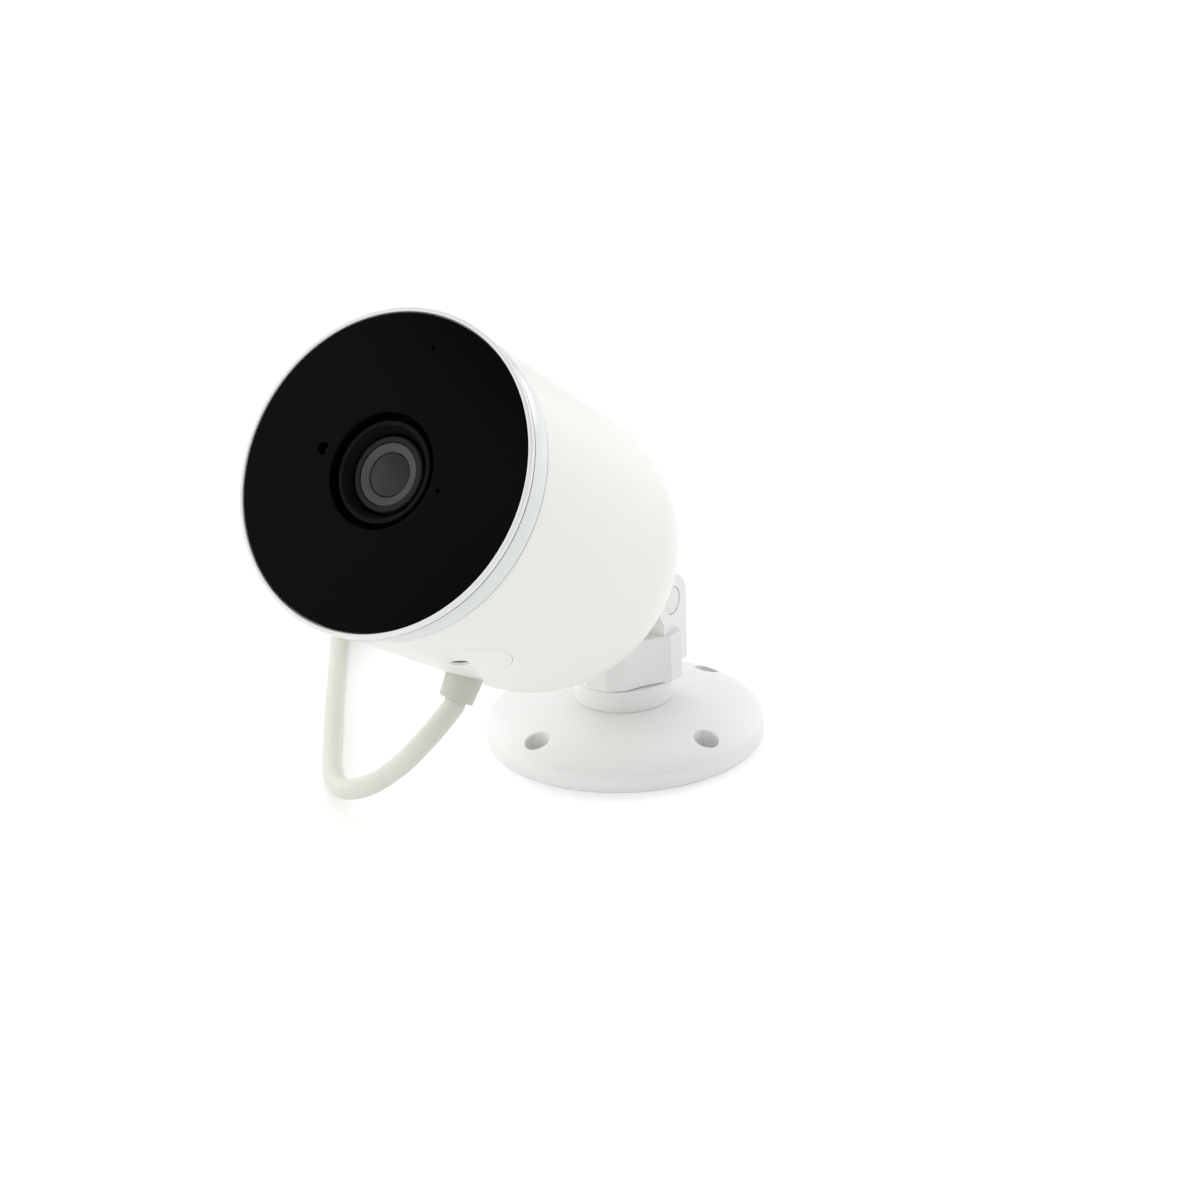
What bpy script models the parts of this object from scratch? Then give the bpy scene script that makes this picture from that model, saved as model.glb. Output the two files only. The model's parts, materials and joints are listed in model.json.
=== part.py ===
"""Outdoor bullet security camera on a pan and tilt bracket.

The bracket's round base lies flat on z = 0 with its pan axis on Z.  The camera
head looks towards -Y, tilted up, and hangs from a hinge along X.  Pieces of the
head are placed in the hinge's own frame: X across, Y towards the head's underside
and Z backwards along its optical axis.  Its supply cord leaves the underside and
lies on the plane of the base, wound up behind the camera.  Units are metres.
"""
import bpy
import bmesh
from math import cos, pi, radians, sin, sqrt
from mathutils import Matrix, Vector

# Fits
GAP = 0.0003
MERGE = 0.00001

# Bracket
BASE_RADIUS = 0.0355
RIM_HEIGHT = 0.0043
DOME_REACH = 0.0362
DOME_FOOT = 0.0023
DOME_RISE = 0.0089
SCREW_CIRCLE = 0.0296
SCREW_HOLE_RADIUS = 0.0031
SCREW_HOLE_ANGLE = radians(253.3)
PAD_RADIUS = 0.025
PAD_THICKNESS = 0.0007
COLLAR_RADIUS = 0.0128
COLLAR_TOP = 0.0163
BOSS_RADIUS = 0.007
BOSS_TOP = 0.014
PAN_BOLT_RADIUS = 0.002
YOKE_BOTTOM = 0.0166
YOKE_TOP = 0.029
EAR_INNER = 0.0082
EAR_OUTER = 0.013
EAR_RADIUS = 0.0068
EAR_FRONT = -0.0012
EAR_BOTTOM = 0.0192
EYE_RADIUS = 0.006
HINGE = Vector((0.0, 0.0035, 0.0369))
TILT_BOLT_RADIUS = 0.002

# Head
HEAD_TILT = radians(32.9)
FACE_REACH = 0.1176
WINDOW_RADIUS = 0.03435
WINDOW_THICKNESS = 0.0018
WINDOW_FRONT = 0.00015
BEZEL_RADIUS = 0.0356
BAND_FRONT = 0.0017
BAND_REAR = 0.0072
BAND_RADIUS = 0.0354
SHELL_FRONT = 0.0076
SHELL_FRONT_RADIUS = 0.035
SHELL_RADIUS = 0.0344
SHELL_DOME_START = 0.067
SHELL_LENGTH = 0.0985
SHELL_WALL = 0.002
LENS_OPENING = 0.0126
LIGHT_HOLE = (-0.0159, -0.0026, 0.00135)
MICROPHONE_HOLE = (0.0046, -0.0273, 0.0005)
STATUS_HOLE = (0.0148, 0.0021, 0.0005)

# Service hatch on the underside, and the cord gland behind it
HATCH_ANGLE = radians(17.5)
HATCH_HALF_WIDTH = 0.0104
HATCH_FRONT_CENTRE = 0.0322
HATCH_REAR_CENTRE = 0.0351
HATCH_SCREW_HOLE = 0.002
GLAND_STATION = 0.0522
GLAND_LEAN = radians(6)
GLAND_RADIUS = 0.0043
GLAND_NECK = 0.003
GLAND_TOP = 0.0349
GLAND_END = 0.0401
CORD_START = GLAND_END + 0.0014

# Cord
CORD_DIAMETER = 0.005
CORD_RADIUS = CORD_DIAMETER / 2
FLOOR_LIFT = CORD_RADIUS + 0.0001
RUN_ANGLE = radians(31.4)
COIL_CENTRE = Vector((-0.092, 0.068, 0.0))
COIL_INNER = 0.019
COIL_OUTER = 0.039
COIL_HEIGHT = 0.020
CORD_STEP = 0.0042
LEAD_ROUTE = (
    (-0.0044, -0.0775, 0.0317), (-0.0076, -0.0781, 0.0280),
    (-0.0118, -0.0774, 0.0235), (-0.0179, -0.0759, 0.0180), (-0.0251, -0.0743, 0.0125),
    (-0.0339, -0.0711, 0.0075), (-0.0429, -0.0649, 0.0038), (-0.0519, -0.0551, 0.0027),
    (-0.0625, -0.0406, 0.0026), (-0.0753, -0.0226, 0.0026), (-0.0896, -0.0020, 0.0026),
    (-0.1029, 0.0168, 0.0026),
)

for stale in list(bpy.data.objects):
    bpy.data.objects.remove(stale, do_unlink=True)

PARTS = bpy.data.collections.new("security_camera")
CUTTERS = bpy.data.collections.new("cutters")
for group in (PARTS, CUTTERS):
    bpy.context.scene.collection.children.link(group)


# ---------------------------------------------------------------- helpers

def material(name, colour, roughness, metallic=0.0):
    """A Principled material of one colour."""
    made = bpy.data.materials.new(name)
    made.use_nodes = True
    shader = made.node_tree.nodes["Principled BSDF"]
    shader.inputs["Base Color"].default_value = (*colour, 1.0)
    shader.inputs["Roughness"].default_value = roughness
    shader.inputs["Metallic"].default_value = metallic
    return made


def empty(name, location, rotation=(0, 0, 0), parent=None):
    """A frame that pieces are parented to."""
    frame = bpy.data.objects.new(name, None)
    frame.empty_display_size = 0.01
    frame.location = location
    frame.rotation_euler = rotation
    frame.parent = parent
    PARTS.objects.link(frame)
    return frame


def place(name, data, finish, parent=None, location=(0, 0, 0), rotation=(0, 0, 0)):
    """Put mesh or curve data in the scene as a named part, or as a cutter without a finish."""
    piece = bpy.data.objects.new(name, data)
    piece.location = location
    piece.rotation_euler = rotation
    piece.parent = parent
    if finish is None:
        piece.hide_render = True
        piece.display_type = "WIRE"
        CUTTERS.objects.link(piece)
    else:
        data.materials.append(finish)
        PARTS.objects.link(piece)
    return piece


def mesh_from(name, shape):
    """Turn a bmesh into mesh data, smooth but for its sharp edges."""
    data = bpy.data.meshes.new(name)
    bmesh.ops.recalc_face_normals(shape, faces=shape.faces)
    shape.to_mesh(data)
    shape.free()
    data.shade_smooth()
    data.set_sharp_from_angle(angle=radians(30))
    return data


def box(name, size, finish, parent=None, location=(0, 0, 0), rotation=(0, 0, 0)):
    """A rectangular block centred on its location."""
    shape = bmesh.new()
    bmesh.ops.create_cube(shape, size=1.0)
    bmesh.ops.scale(shape, vec=Vector(size), verts=shape.verts)
    return place(name, mesh_from(name, shape), finish, parent, location, rotation)


def cylinder(name, radius, low, high, finish, parent=None, location=(0, 0, 0),
             rotation=(0, 0, 0), sides=24, top_radius=None):
    """A round bar or cone between two heights on its own Z."""
    shape = bmesh.new()
    top = radius if top_radius is None else top_radius
    bmesh.ops.create_cone(shape, cap_ends=True, segments=sides, radius1=radius,
                          radius2=top, depth=high - low)
    bmesh.ops.translate(shape, vec=(0, 0, (low + high) / 2), verts=shape.verts)
    return place(name, mesh_from(name, shape), finish, parent, location, rotation)


def turned(name, outline, finish, parent=None, location=(0, 0, 0), rotation=(0, 0, 0),
           steps=48):
    """Turn an outline of (radius, height) points about its own Z with a Screw modifier."""
    area = sum(a[0] * b[1] - b[0] * a[1] for a, b in zip(outline, outline[1:] + outline[:1]))
    points = list(outline) if area < 0 else list(reversed(outline))
    on_axis = [i for i, point in enumerate(points) if point[0] == 0.0]
    edges = [(i, (i + 1) % len(points)) for i in range(len(points))]
    edges = [edge for edge in edges if not (edge[0] in on_axis and edge[1] in on_axis)]
    data = bpy.data.meshes.new(name)
    data.from_pydata([(radius, 0.0, height) for radius, height in points], edges, [])
    piece = place(name, data, finish, parent, location, rotation)
    spin = piece.modifiers.new("turn", "SCREW")
    spin.axis = "Z"
    spin.steps = spin.render_steps = steps
    spin.use_merge_vertices = True
    spin.merge_threshold = MERGE
    spin.use_smooth_shade = False
    return piece


def prism(name, outline, thickness, finish, parent=None, location=(0, 0, 0),
          rotation=(0, 0, 0)):
    """Extrude a flat outline of (x, y) points by half its thickness to each side."""
    curve = bpy.data.curves.new(name, "CURVE")
    curve.dimensions = "2D"
    curve.fill_mode = "BOTH"
    curve.extrude = thickness / 2
    spline = curve.splines.new("POLY")
    spline.points.add(len(outline) - 1)
    for point, (x, y) in zip(spline.points, outline):
        point.co = (x, y, 0.0, 1.0)
    spline.use_cyclic_u = True
    return place(name, solid_mesh(name, curve), finish, parent, location, rotation)


def solid_mesh(name, curve):
    """Convert curve data to closed mesh data and weld its loose caps."""
    guide = bpy.data.objects.new(name + "_curve", curve)
    CUTTERS.objects.link(guide)
    bpy.context.view_layer.update()
    evaluated = guide.evaluated_get(bpy.context.evaluated_depsgraph_get())
    data = bpy.data.meshes.new_from_object(evaluated)
    bpy.data.objects.remove(guide, do_unlink=True)
    shape = bmesh.new()
    shape.from_mesh(data)
    bmesh.ops.remove_doubles(shape, verts=shape.verts, dist=MERGE)
    bpy.data.meshes.remove(data)
    return mesh_from(name, shape)


def combine(piece, other, operation):
    """Add a Boolean modifier that cuts, joins or keeps the common part."""
    step = piece.modifiers.new(operation.lower(), "BOOLEAN")
    step.operation = operation
    step.solver = "EXACT"
    step.object = other


def cut(piece, *cutters):
    for cutter in cutters:
        combine(piece, cutter, "DIFFERENCE")


def join(piece, *others):
    for other in others:
        combine(piece, other, "UNION")


def arc(centre, radius, start, end, count):
    """Points on a round stretch of an outline; angles in degrees."""
    angles = [radians(start + (end - start) * i / count) for i in range(count + 1)]
    return [(centre[0] + radius * cos(a), centre[1] + radius * sin(a)) for a in angles]


def station(distance):
    """Height on the hinge frame's Z of a point this far behind the window."""
    return distance - FACE_REACH


# ---------------------------------------------------------------- finishes

WHITE = material("white_asa", (0.86, 0.86, 0.84), 0.42)
BRACKET_WHITE = material("bracket_white", (0.84, 0.85, 0.86), 0.45)
BLACK_GLASS = material("black_acrylic", (0.004, 0.004, 0.004), 0.12)
BLACK = material("black_plastic", (0.012, 0.012, 0.013), 0.5)
BAND_SILVER = material("pearl_silver", (0.72, 0.74, 0.75), 0.3, 0.3)
GREY = material("grey_plastic", (0.08, 0.08, 0.082), 0.5)
LENS_GLASS = material("lens_glass", (0.03, 0.035, 0.033), 0.05)
RUBBER = material("rubber", (0.03, 0.03, 0.03), 0.8)
CORD_GREY = material("cord_white", (0.74, 0.73, 0.68), 0.55)
STEEL = material("steel", (0.62, 0.63, 0.65), 0.3, 1.0)
BRASS = material("brass", (0.65, 0.5, 0.25), 0.35, 1.0)
BOARD = material("circuit_board", (0.02, 0.12, 0.06), 0.5)
CHIP = material("chip", (0.02, 0.02, 0.022), 0.4)

# ---------------------------------------------------------------- frames

GLAND_LINE = Vector((-sin(GLAND_LEAN), cos(GLAND_LEAN), 0.0))
GLAND_FOOT = Vector((0.0001, GLAND_TOP, GLAND_STATION)) - GLAND_LINE * GLAND_TOP

PAN = empty("pan_axis", (0, 0, 0))
TILT = empty("tilt_axis", HINGE, (-(pi / 2 + HEAD_TILT), 0, 0), PAN)
GLAND = empty("gland_axis", GLAND_FOOT - Vector((0, 0, FACE_REACH)),
              GLAND_LINE.to_track_quat("Z", "Y").to_euler(), TILT)


# ---------------------------------------------------------------- bracket

def dome_height(radius):
    """Height of the base's elliptical dome at a radius from the pan axis."""
    return DOME_FOOT + DOME_RISE * sqrt(1 - (radius / DOME_REACH) ** 2)


DOME_TOP = dome_height(COLLAR_RADIUS)


def make_base():
    """The round base, its foam pad and the pan bolt with its washer and nut."""
    bolt_clearance = PAN_BOLT_RADIUS + GAP
    recess = 0.0068
    rim = BASE_RADIUS - 0.0004
    dome = [COLLAR_RADIUS + (rim - COLLAR_RADIUS) * i / 7 for i in range(8)]
    outline = [(bolt_clearance, BOSS_TOP), (BOSS_RADIUS, BOSS_TOP), (BOSS_RADIUS, DOME_TOP)]
    outline += [(radius, dome_height(radius)) for radius in dome]
    outline += [
        (BASE_RADIUS, RIM_HEIGHT - 0.0006), (BASE_RADIUS, 0.0004), (rim, 0.0),
        (PAD_RADIUS + GAP, 0.0), (PAD_RADIUS + GAP, PAD_THICKNESS + GAP),
        (recess, PAD_THICKNESS + GAP), (recess, 0.0062), (bolt_clearance, 0.0062),
    ]
    base = turned("base_plate", outline, BRACKET_WHITE)
    for corner in range(4):
        angle = SCREW_HOLE_ANGLE + corner * pi / 2
        spot = (SCREW_CIRCLE * cos(angle), SCREW_CIRCLE * sin(angle), 0)
        cut(base, cylinder(f"screw_hole_{corner}", SCREW_HOLE_RADIUS, -0.002, 0.02, None,
                           location=spot))
    cylinder("base_pad", PAD_RADIUS, 0.0, PAD_THICKNESS, RUBBER, sides=32)
    turned("pan_washer", [(bolt_clearance, 0.0051), (bolt_clearance, 0.0059),
                          (0.0055, 0.0059), (0.0055, 0.0051)], STEEL, steps=24)
    turned("pan_bolt", [(0.0, 0.0275), (PAN_BOLT_RADIUS, 0.0275), (PAN_BOLT_RADIUS, 0.0048),
                        (0.005, 0.0048), (0.005, 0.0018), (0.0, 0.0018)], STEEL, steps=20)
    nut = cylinder("pan_nut", 0.0038, 0.0224, 0.0256, BRASS, PAN, sides=6)
    cut(nut, cylinder("pan_nut_bore", PAN_BOLT_RADIUS + GAP, 0.0, 0.04, None, PAN, sides=24))


def yoke_plan():
    """Half of the block's plan: a narrow nose that flares in a hollow curve to the ears."""
    nose = [(0.0029, -0.0132), (0.0061, -0.0112)]
    flare = arc((0.0402, -0.0266), 0.0370, 154, 134.5, 6)
    side = [(0.0150, 0.0037), (0.0122, 0.0060)]
    return nose + flare + side


def make_yoke():
    """The turning yoke: a block on the collar and two ears that hold the hinge bolt."""
    half = yoke_plan()
    plan = half + [(-x, y) for x, y in reversed(half)]
    height = YOKE_TOP - YOKE_BOTTOM
    yoke = prism("yoke", plan, height, BRACKET_WHITE, PAN,
                 (0, 0, (YOKE_TOP + YOKE_BOTTOM) / 2))
    back = HINGE.y + EAR_RADIUS
    ear_side = [(EAR_FRONT, YOKE_TOP - 0.001)]
    ear_side += arc((HINGE.y, HINGE.z), EAR_RADIUS, 226, 0, 16)
    ear_side += [(back, EAR_BOTTOM), (0.0030, EAR_BOTTOM)]
    upright = (pi / 2, 0, pi / 2)
    for side, label in ((1, "right"), (-1, "left")):
        middle = side * (EAR_INNER + EAR_OUTER) / 2
        ear = prism(f"ear_{label}", ear_side, EAR_OUTER - EAR_INNER, None, PAN,
                    (middle, 0, 0), upright)
        join(yoke, ear)
    spigot = cylinder("yoke_spigot", BOSS_RADIUS - GAP, 0.0154, 0.018, None, PAN, sides=32)
    join(yoke, spigot)
    across = (0, pi / 2, 0)
    cut(yoke,
        cylinder("eye_clearance", EYE_RADIUS + 0.0009, -EAR_INNER, EAR_INNER, None, PAN,
                 HINGE, across, sides=32),
        cylinder("tilt_bolt_hole", TILT_BOLT_RADIUS + GAP, -0.02, 0.02, None, PAN, HINGE,
                 across),
        cylinder("bolt_head_seat", 0.0039, 0.0112, 0.02, None, PAN, HINGE, across),
        cylinder("bolt_nut_seat", 0.0044, -0.02, -0.0104, None, PAN, HINGE, across, sides=6),
        cylinder("pan_bolt_hole", PAN_BOLT_RADIUS + GAP, 0.0, 0.04, None, PAN),
        cylinder("pan_nut_pocket", 0.0042, 0.0221, 0.04, None, PAN, sides=6))
    turned("swivel_collar", [(BOSS_RADIUS + GAP, DOME_TOP + GAP),
                             (BOSS_RADIUS + GAP, COLLAR_TOP),
                             (COLLAR_RADIUS - 0.0003, COLLAR_TOP),
                             (COLLAR_RADIUS, COLLAR_TOP - 0.0003),
                             (COLLAR_RADIUS, DOME_TOP + GAP)], BRACKET_WHITE, PAN, steps=40)
    turned("swivel_washer", [(PAN_BOLT_RADIUS + GAP, BOSS_TOP + GAP),
                             (PAN_BOLT_RADIUS + GAP, 0.0151), (0.0066, 0.0151),
                             (0.0066, BOSS_TOP + GAP)], BLACK, PAN, steps=32)


def make_hinge():
    """The hinge bolt, its nut and the friction washers beside the neck's eye."""
    across = (0, pi / 2, 0)
    turned("tilt_bolt", [(0.0, 0.0129), (0.0036, 0.0129), (0.0036, 0.0115),
                         (TILT_BOLT_RADIUS, 0.0115), (TILT_BOLT_RADIUS, -0.0127),
                         (0.0, -0.0127)], STEEL, PAN, HINGE, across, steps=24)
    nut = cylinder("tilt_nut", 0.0040, -0.0127, -0.0107, BRASS, PAN, HINGE, across, sides=6)
    cut(nut, cylinder("tilt_nut_bore", TILT_BOLT_RADIUS + GAP, -0.02, 0.0, None, PAN, HINGE,
                      across))
    for side, label in ((-1, "left"), (1, "right")):
        low, high = sorted((side * 0.0074, side * 0.0079))
        turned(f"friction_washer_{label}", [
            (TILT_BOLT_RADIUS + GAP, low), (TILT_BOLT_RADIUS + GAP, high), (0.0055, high),
            (0.0055, low)], BLACK, PAN, HINGE, across, steps=32)


# ---------------------------------------------------------------- head casing

def shell_radius(distance, offset=0.0):
    """Outer radius of the casing at a distance behind the window."""
    if distance <= SHELL_DOME_START:
        share = (distance - SHELL_FRONT) / (SHELL_DOME_START - SHELL_FRONT)
        return SHELL_FRONT_RADIUS + (SHELL_RADIUS - SHELL_FRONT_RADIUS) * share - offset
    depth = SHELL_LENGTH - SHELL_DOME_START - offset
    share = min(1.0, (distance - SHELL_DOME_START) / depth)
    return (SHELL_RADIUS - offset) * sqrt(max(0.0, 1.0 - share ** 2))


def shell_outline():
    """The casing's section: a long sleeve, closed behind by a deep dome."""
    count = 8
    outer = [(SHELL_FRONT_RADIUS - 0.0004, SHELL_FRONT),
             (SHELL_FRONT_RADIUS, SHELL_FRONT + 0.0004),
             (shell_radius(0.037), 0.037)]
    inner = [(SHELL_RADIUS - SHELL_WALL, SHELL_FRONT)]
    for i in range(count + 1):
        turn = pi / 2 * i / count
        last = i == count
        deep = SHELL_LENGTH - SHELL_DOME_START
        outer.append((0.0 if last else SHELL_RADIUS * cos(turn),
                      SHELL_DOME_START + deep * sin(turn)))
        inner.append((0.0 if last else (SHELL_RADIUS - SHELL_WALL) * cos(turn),
                      SHELL_DOME_START + (deep - SHELL_WALL) * sin(turn)))
    return outer + list(reversed(inner))


def hatch_outline(half_width):
    """A rounded slot, long towards the back, in the plane of the hatch."""
    front = arc((0.0, HATCH_FRONT_CENTRE), half_width, 180, 360, 12)
    rear = arc((0.0, HATCH_REAR_CENTRE), half_width, 0, 180, 12)
    return front + rear


def hatch_prism(name, half_width, low, high, finish=None):
    """A prism of the hatch's outline between two distances from the head's axis."""
    # The outline's own x runs across the hatch and its y runs backwards along the head.
    middle = (low + high) / 2
    away = Vector((sin(HATCH_ANGLE), cos(HATCH_ANGLE), 0.0))
    place_at = away * middle + Vector((0, 0, station(0)))
    return prism(name, hatch_outline(half_width), high - low, finish, TILT, place_at,
                 (pi / 2, 0, -HATCH_ANGLE))


def hatch_bar(name, radius, low, high, finish, distance, across=0.0, sides=20):
    """A round bar square to the hatch, between two distances from the head's axis."""
    away = Vector((sin(HATCH_ANGLE), cos(HATCH_ANGLE), 0.0))
    beside = Vector((cos(HATCH_ANGLE), -sin(HATCH_ANGLE), 0.0))
    spot = beside * across + Vector((0, 0, station(distance)))
    turn = away.to_track_quat("Z", "Y").to_euler()
    return cylinder(name, radius, low, high, finish, TILT, spot, turn, sides)


def make_shell():
    """The white casing with its hatch opening, gland hole and neck screw hole."""
    shell = turned("body_shell", shell_outline(), WHITE, TILT, (0, 0, station(0)))
    cut(shell,
        hatch_prism("hatch_opening", HATCH_HALF_WIDTH, 0.020, 0.045),
        cylinder("gland_hole", GLAND_NECK + GAP, 0.020, 0.045, None, GLAND),
        cylinder("neck_screw_hole", 0.0022, station(0.085), station(0.105), None, TILT))


def make_hatch():
    """The hatch cover, its seal and its sunk screw."""
    sleeve = [(SHELL_RADIUS - 0.0016, 0.018), (SHELL_RADIUS - 0.0016, 0.050),
              (shell_radius(0.050), 0.050), (shell_radius(0.018), 0.018)]
    cover = turned("hatch_cover", sleeve, WHITE, TILT, (0, 0, station(0)), steps=96)
    combine(cover, hatch_prism("hatch_cover_edge", HATCH_HALF_WIDTH - GAP, 0.020, 0.045),
            "INTERSECT")
    cut(cover, hatch_bar("hatch_screw_hole", HATCH_SCREW_HOLE, 0.02, 0.045, None,
                         HATCH_FRONT_CENTRE))
    seal_inner = SHELL_RADIUS - 0.0031
    seal_outer = SHELL_RADIUS - SHELL_WALL - GAP
    ring = [(seal_inner, 0.018), (seal_inner, 0.050), (seal_outer, 0.050), (seal_outer, 0.018)]
    seal = turned("hatch_seal", ring, RUBBER, TILT, (0, 0, station(0)), steps=64)
    combine(seal, hatch_prism("hatch_seal_edge", HATCH_HALF_WIDTH + 0.0012, 0.020, 0.045),
            "INTERSECT")
    cut(seal, hatch_prism("hatch_seal_hole", HATCH_HALF_WIDTH - 0.0016, 0.020, 0.045))
    head = hatch_bar("hatch_screw", 0.0017, 0.0302, 0.0316, STEEL, HATCH_FRONT_CENTRE)
    join(head, hatch_bar("hatch_screw_shank", 0.0011, 0.0225, 0.0305, None,
                         HATCH_FRONT_CENTRE))


def make_front():
    """The bezel, its silver band, the black window and the seal behind it."""
    bore = WINDOW_RADIUS + GAP
    bezel = [
        (bore, 0.0), (BEZEL_RADIUS - 0.0004, 0.0), (BEZEL_RADIUS, 0.0004),
        (BEZEL_RADIUS, BAND_FRONT - 0.0004), (BAND_RADIUS - 0.0010, BAND_FRONT - 0.0004),
        (BAND_RADIUS - 0.0010, BAND_REAR), (0.0320, BAND_REAR), (0.0320, 0.0130),
        (0.0303, 0.0130), (0.0303, 0.0034), (bore, 0.0034),
    ]
    turned("front_bezel", bezel, WHITE, TILT, (0, 0, station(0)))
    band = [(BAND_RADIUS - 0.0007, BAND_FRONT), (BAND_RADIUS, BAND_FRONT),
            (BAND_RADIUS, BAND_REAR), (BAND_RADIUS - 0.0007, BAND_REAR)]
    turned("trim_band", band, BAND_SILVER, TILT, (0, 0, station(0)))
    back = WINDOW_FRONT + WINDOW_THICKNESS
    window = [(LENS_OPENING, WINDOW_FRONT), (LENS_OPENING, back), (WINDOW_RADIUS, back),
              (WINDOW_RADIUS, WINDOW_FRONT)]
    glass = turned("front_window", window, BLACK_GLASS, TILT, (0, 0, station(0)))
    holes = (("light_hole", LIGHT_HOLE), ("microphone_hole", MICROPHONE_HOLE),
             ("status_hole", STATUS_HOLE))
    for name, (x, y, radius) in holes:
        cut(glass, cylinder(name, radius, -0.002, 0.004, None, TILT, (x, y, station(0)),
                            sides=12))
    turned("window_seal", [(0.0308, back + GAP), (0.0308, 0.0031), (0.0342, 0.0031),
                           (0.0342, back + GAP)], RUBBER, TILT, (0, 0, station(0)), steps=32)


# ---------------------------------------------------------------- lens

def make_lens():
    """The lens in its shroud, with its glasses, holder and the moving infrared filter."""
    origin = (0, 0, station(0))
    turned("lens_shroud", [
        (0.0102, 0.0011), (0.0111, 0.0011), (0.0112, 0.0022), (0.0122, 0.0060),
        (0.0140, 0.0060), (0.0140, 0.0070), (0.0090, 0.0070), (0.0088, 0.0038),
    ], GREY, TILT, origin, steps=32)
    turned("lens_barrel", [
        (0.0071, 0.0028), (0.0080, 0.0028), (0.0083, 0.0031), (0.0083, 0.0150),
        (0.0056, 0.0150), (0.0056, 0.0062), (0.0071, 0.0062),
    ], BLACK, TILT, origin, steps=32)
    turned("lens_retainer", [
        (0.0050, 0.0038), (0.0066, 0.0028), (0.0068, 0.0031), (0.0068, 0.0058),
        (0.0050, 0.0058),
    ], GREY, TILT, origin, steps=32)
    front_glass = [(0.0, 0.0034)]
    front_glass += [(0.0047 * i / 3, 0.0034 + 0.0008 * (i / 3) ** 2) for i in range(1, 4)]
    front_glass += [(0.0047, 0.0057), (0.0, 0.0050)]
    turned("lens_front_glass", front_glass, LENS_GLASS, TILT, origin, steps=24)
    turned("lens_rear_glass", [(0.0, 0.0100), (0.0053, 0.0110), (0.0053, 0.0138),
                               (0.0, 0.0148)], LENS_GLASS, TILT, origin, steps=24)
    holder = box("lens_holder", (0.024, 0.024, 0.0130), BLACK, TILT,
                 (0, 0, station(0.0185)))
    cut(holder,
        cylinder("barrel_bore", 0.0086, station(0.0110), station(0.0156), None, TILT),
        cylinder("light_bore", 0.0045, station(0.0110), station(0.0260), None, TILT),
        box("filter_slot", (0.030, 0.0112, 0.0024), None, TILT, (0.005, 0, station(0.0195))),
        box("sensor_pocket", (0.012, 0.012, 0.004), None, TILT, (0, 0, station(0.0252))))
    box("ir_cut_filter", (0.0098, 0.0098, 0.0010), LENS_GLASS, TILT, (0, 0, station(0.0195)))
    box("image_sensor", (0.0100, 0.0090, 0.0010), CHIP, TILT, (0, 0, station(0.0247)))
    box("sensor_board", (0.034, 0.034, 0.0014), BOARD, TILT, (0, 0, station(0.0262)))


def make_lamps():
    """The infrared lamp board behind the window with its lamps and sensors."""
    lamp_circle = 0.0215
    board = [(0.0150, 0.0074), (0.0150, 0.0086), (0.0296, 0.0086), (0.0296, 0.0074)]
    turned("lamp_board", board, BOARD, TILT, (0, 0, station(0)), steps=32)
    for lamp in range(4):
        angle = pi / 4 + lamp * pi / 2
        spot = (lamp_circle * cos(angle), lamp_circle * sin(angle), station(0))
        cylinder(f"infrared_lamp_{lamp + 1}", 0.0026, 0.0034, 0.0071, LENS_GLASS, TILT, spot,
                 sides=20)
    cylinder("light_sensor", 0.0010, 0.0024, 0.0056, CHIP, TILT,
             (LIGHT_HOLE[0], LIGHT_HOLE[1], station(0)), sides=12)
    cylinder("microphone", 0.0018, 0.0026, 0.0070, STEEL, TILT,
             (MICROPHONE_HOLE[0], MICROPHONE_HOLE[1], station(0)), sides=16)


# ---------------------------------------------------------------- electronics

def make_electronics():
    """The chassis in the casing with its boards, antenna and screws."""
    chassis = box("chassis", (0.046, 0.002, 0.050), BLACK, TILT, (0, 0.001, station(0.056)))
    post = box("chassis_wall", (0.050, 0.034, 0.002), None, TILT, (0, 0, station(0.0301)))
    join(chassis, post)
    bridge = box("chassis_bridge", (0.046, 0.002, 0.004), None, TILT, (0, 0.001, station(0.0305)))
    join(chassis, bridge)
    box("main_board", (0.044, 0.0016, 0.046), BOARD, TILT, (0, -0.0042, station(0.0560)))
    box("processor", (0.014, 0.0016, 0.014), CHIP, TILT, (0.004, -0.0062, station(0.0480)))
    box("radio_module", (0.014, 0.0024, 0.016), STEEL, TILT, (-0.010, -0.0066, station(0.0700)))
    box("antenna", (0.030, 0.0008, 0.008), BRASS, TILT, (0, -0.0200, station(0.0700)))
    box("power_board", (0.026, 0.0016, 0.020), BOARD, TILT, (-0.006, 0.0052, station(0.0680)))
    for number, x in enumerate((-0.0195, 0.0195)):
        cylinder(f"board_screw_{number + 1}", 0.0017, 0.0053, 0.0072, STEEL, TILT,
                 (x, 0, station(0.0370)), (pi / 2, 0, 0), sides=12)


def make_service_board():
    """The small board under the hatch: the card slot and the reset button's switch."""
    away = Vector((sin(HATCH_ANGLE), cos(HATCH_ANGLE), 0.0))
    beside = Vector((cos(HATCH_ANGLE), -sin(HATCH_ANGLE), 0.0))
    turn = (0, 0, -HATCH_ANGLE)

    def spot(depth, across, distance):
        return away * depth + beside * across + Vector((0, 0, station(distance)))

    board = box("service_board", (0.0200, 0.0012, 0.0170), BOARD, TILT,
                spot(0.0215, 0.0, 0.0410), turn)
    cut(board, hatch_bar("service_board_hole", 0.0014, 0.0, 0.03, None, HATCH_FRONT_CENTRE))
    box("card_slot", (0.0115, 0.0016, 0.0120), STEEL, TILT, spot(0.0232, -0.0035, 0.0420), turn)
    box("reset_switch", (0.0042, 0.0018, 0.0042), CHIP, TILT, spot(0.0233, 0.0060, 0.0400), turn)
    slide = empty("reset_axis", spot(0.0245, 0.0060, 0.0400),
                  away.to_track_quat("Z", "Y").to_euler(), TILT)
    cylinder("reset_button", 0.0012, 0.0008, 0.0034, GREY, slide, sides=16)


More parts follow.
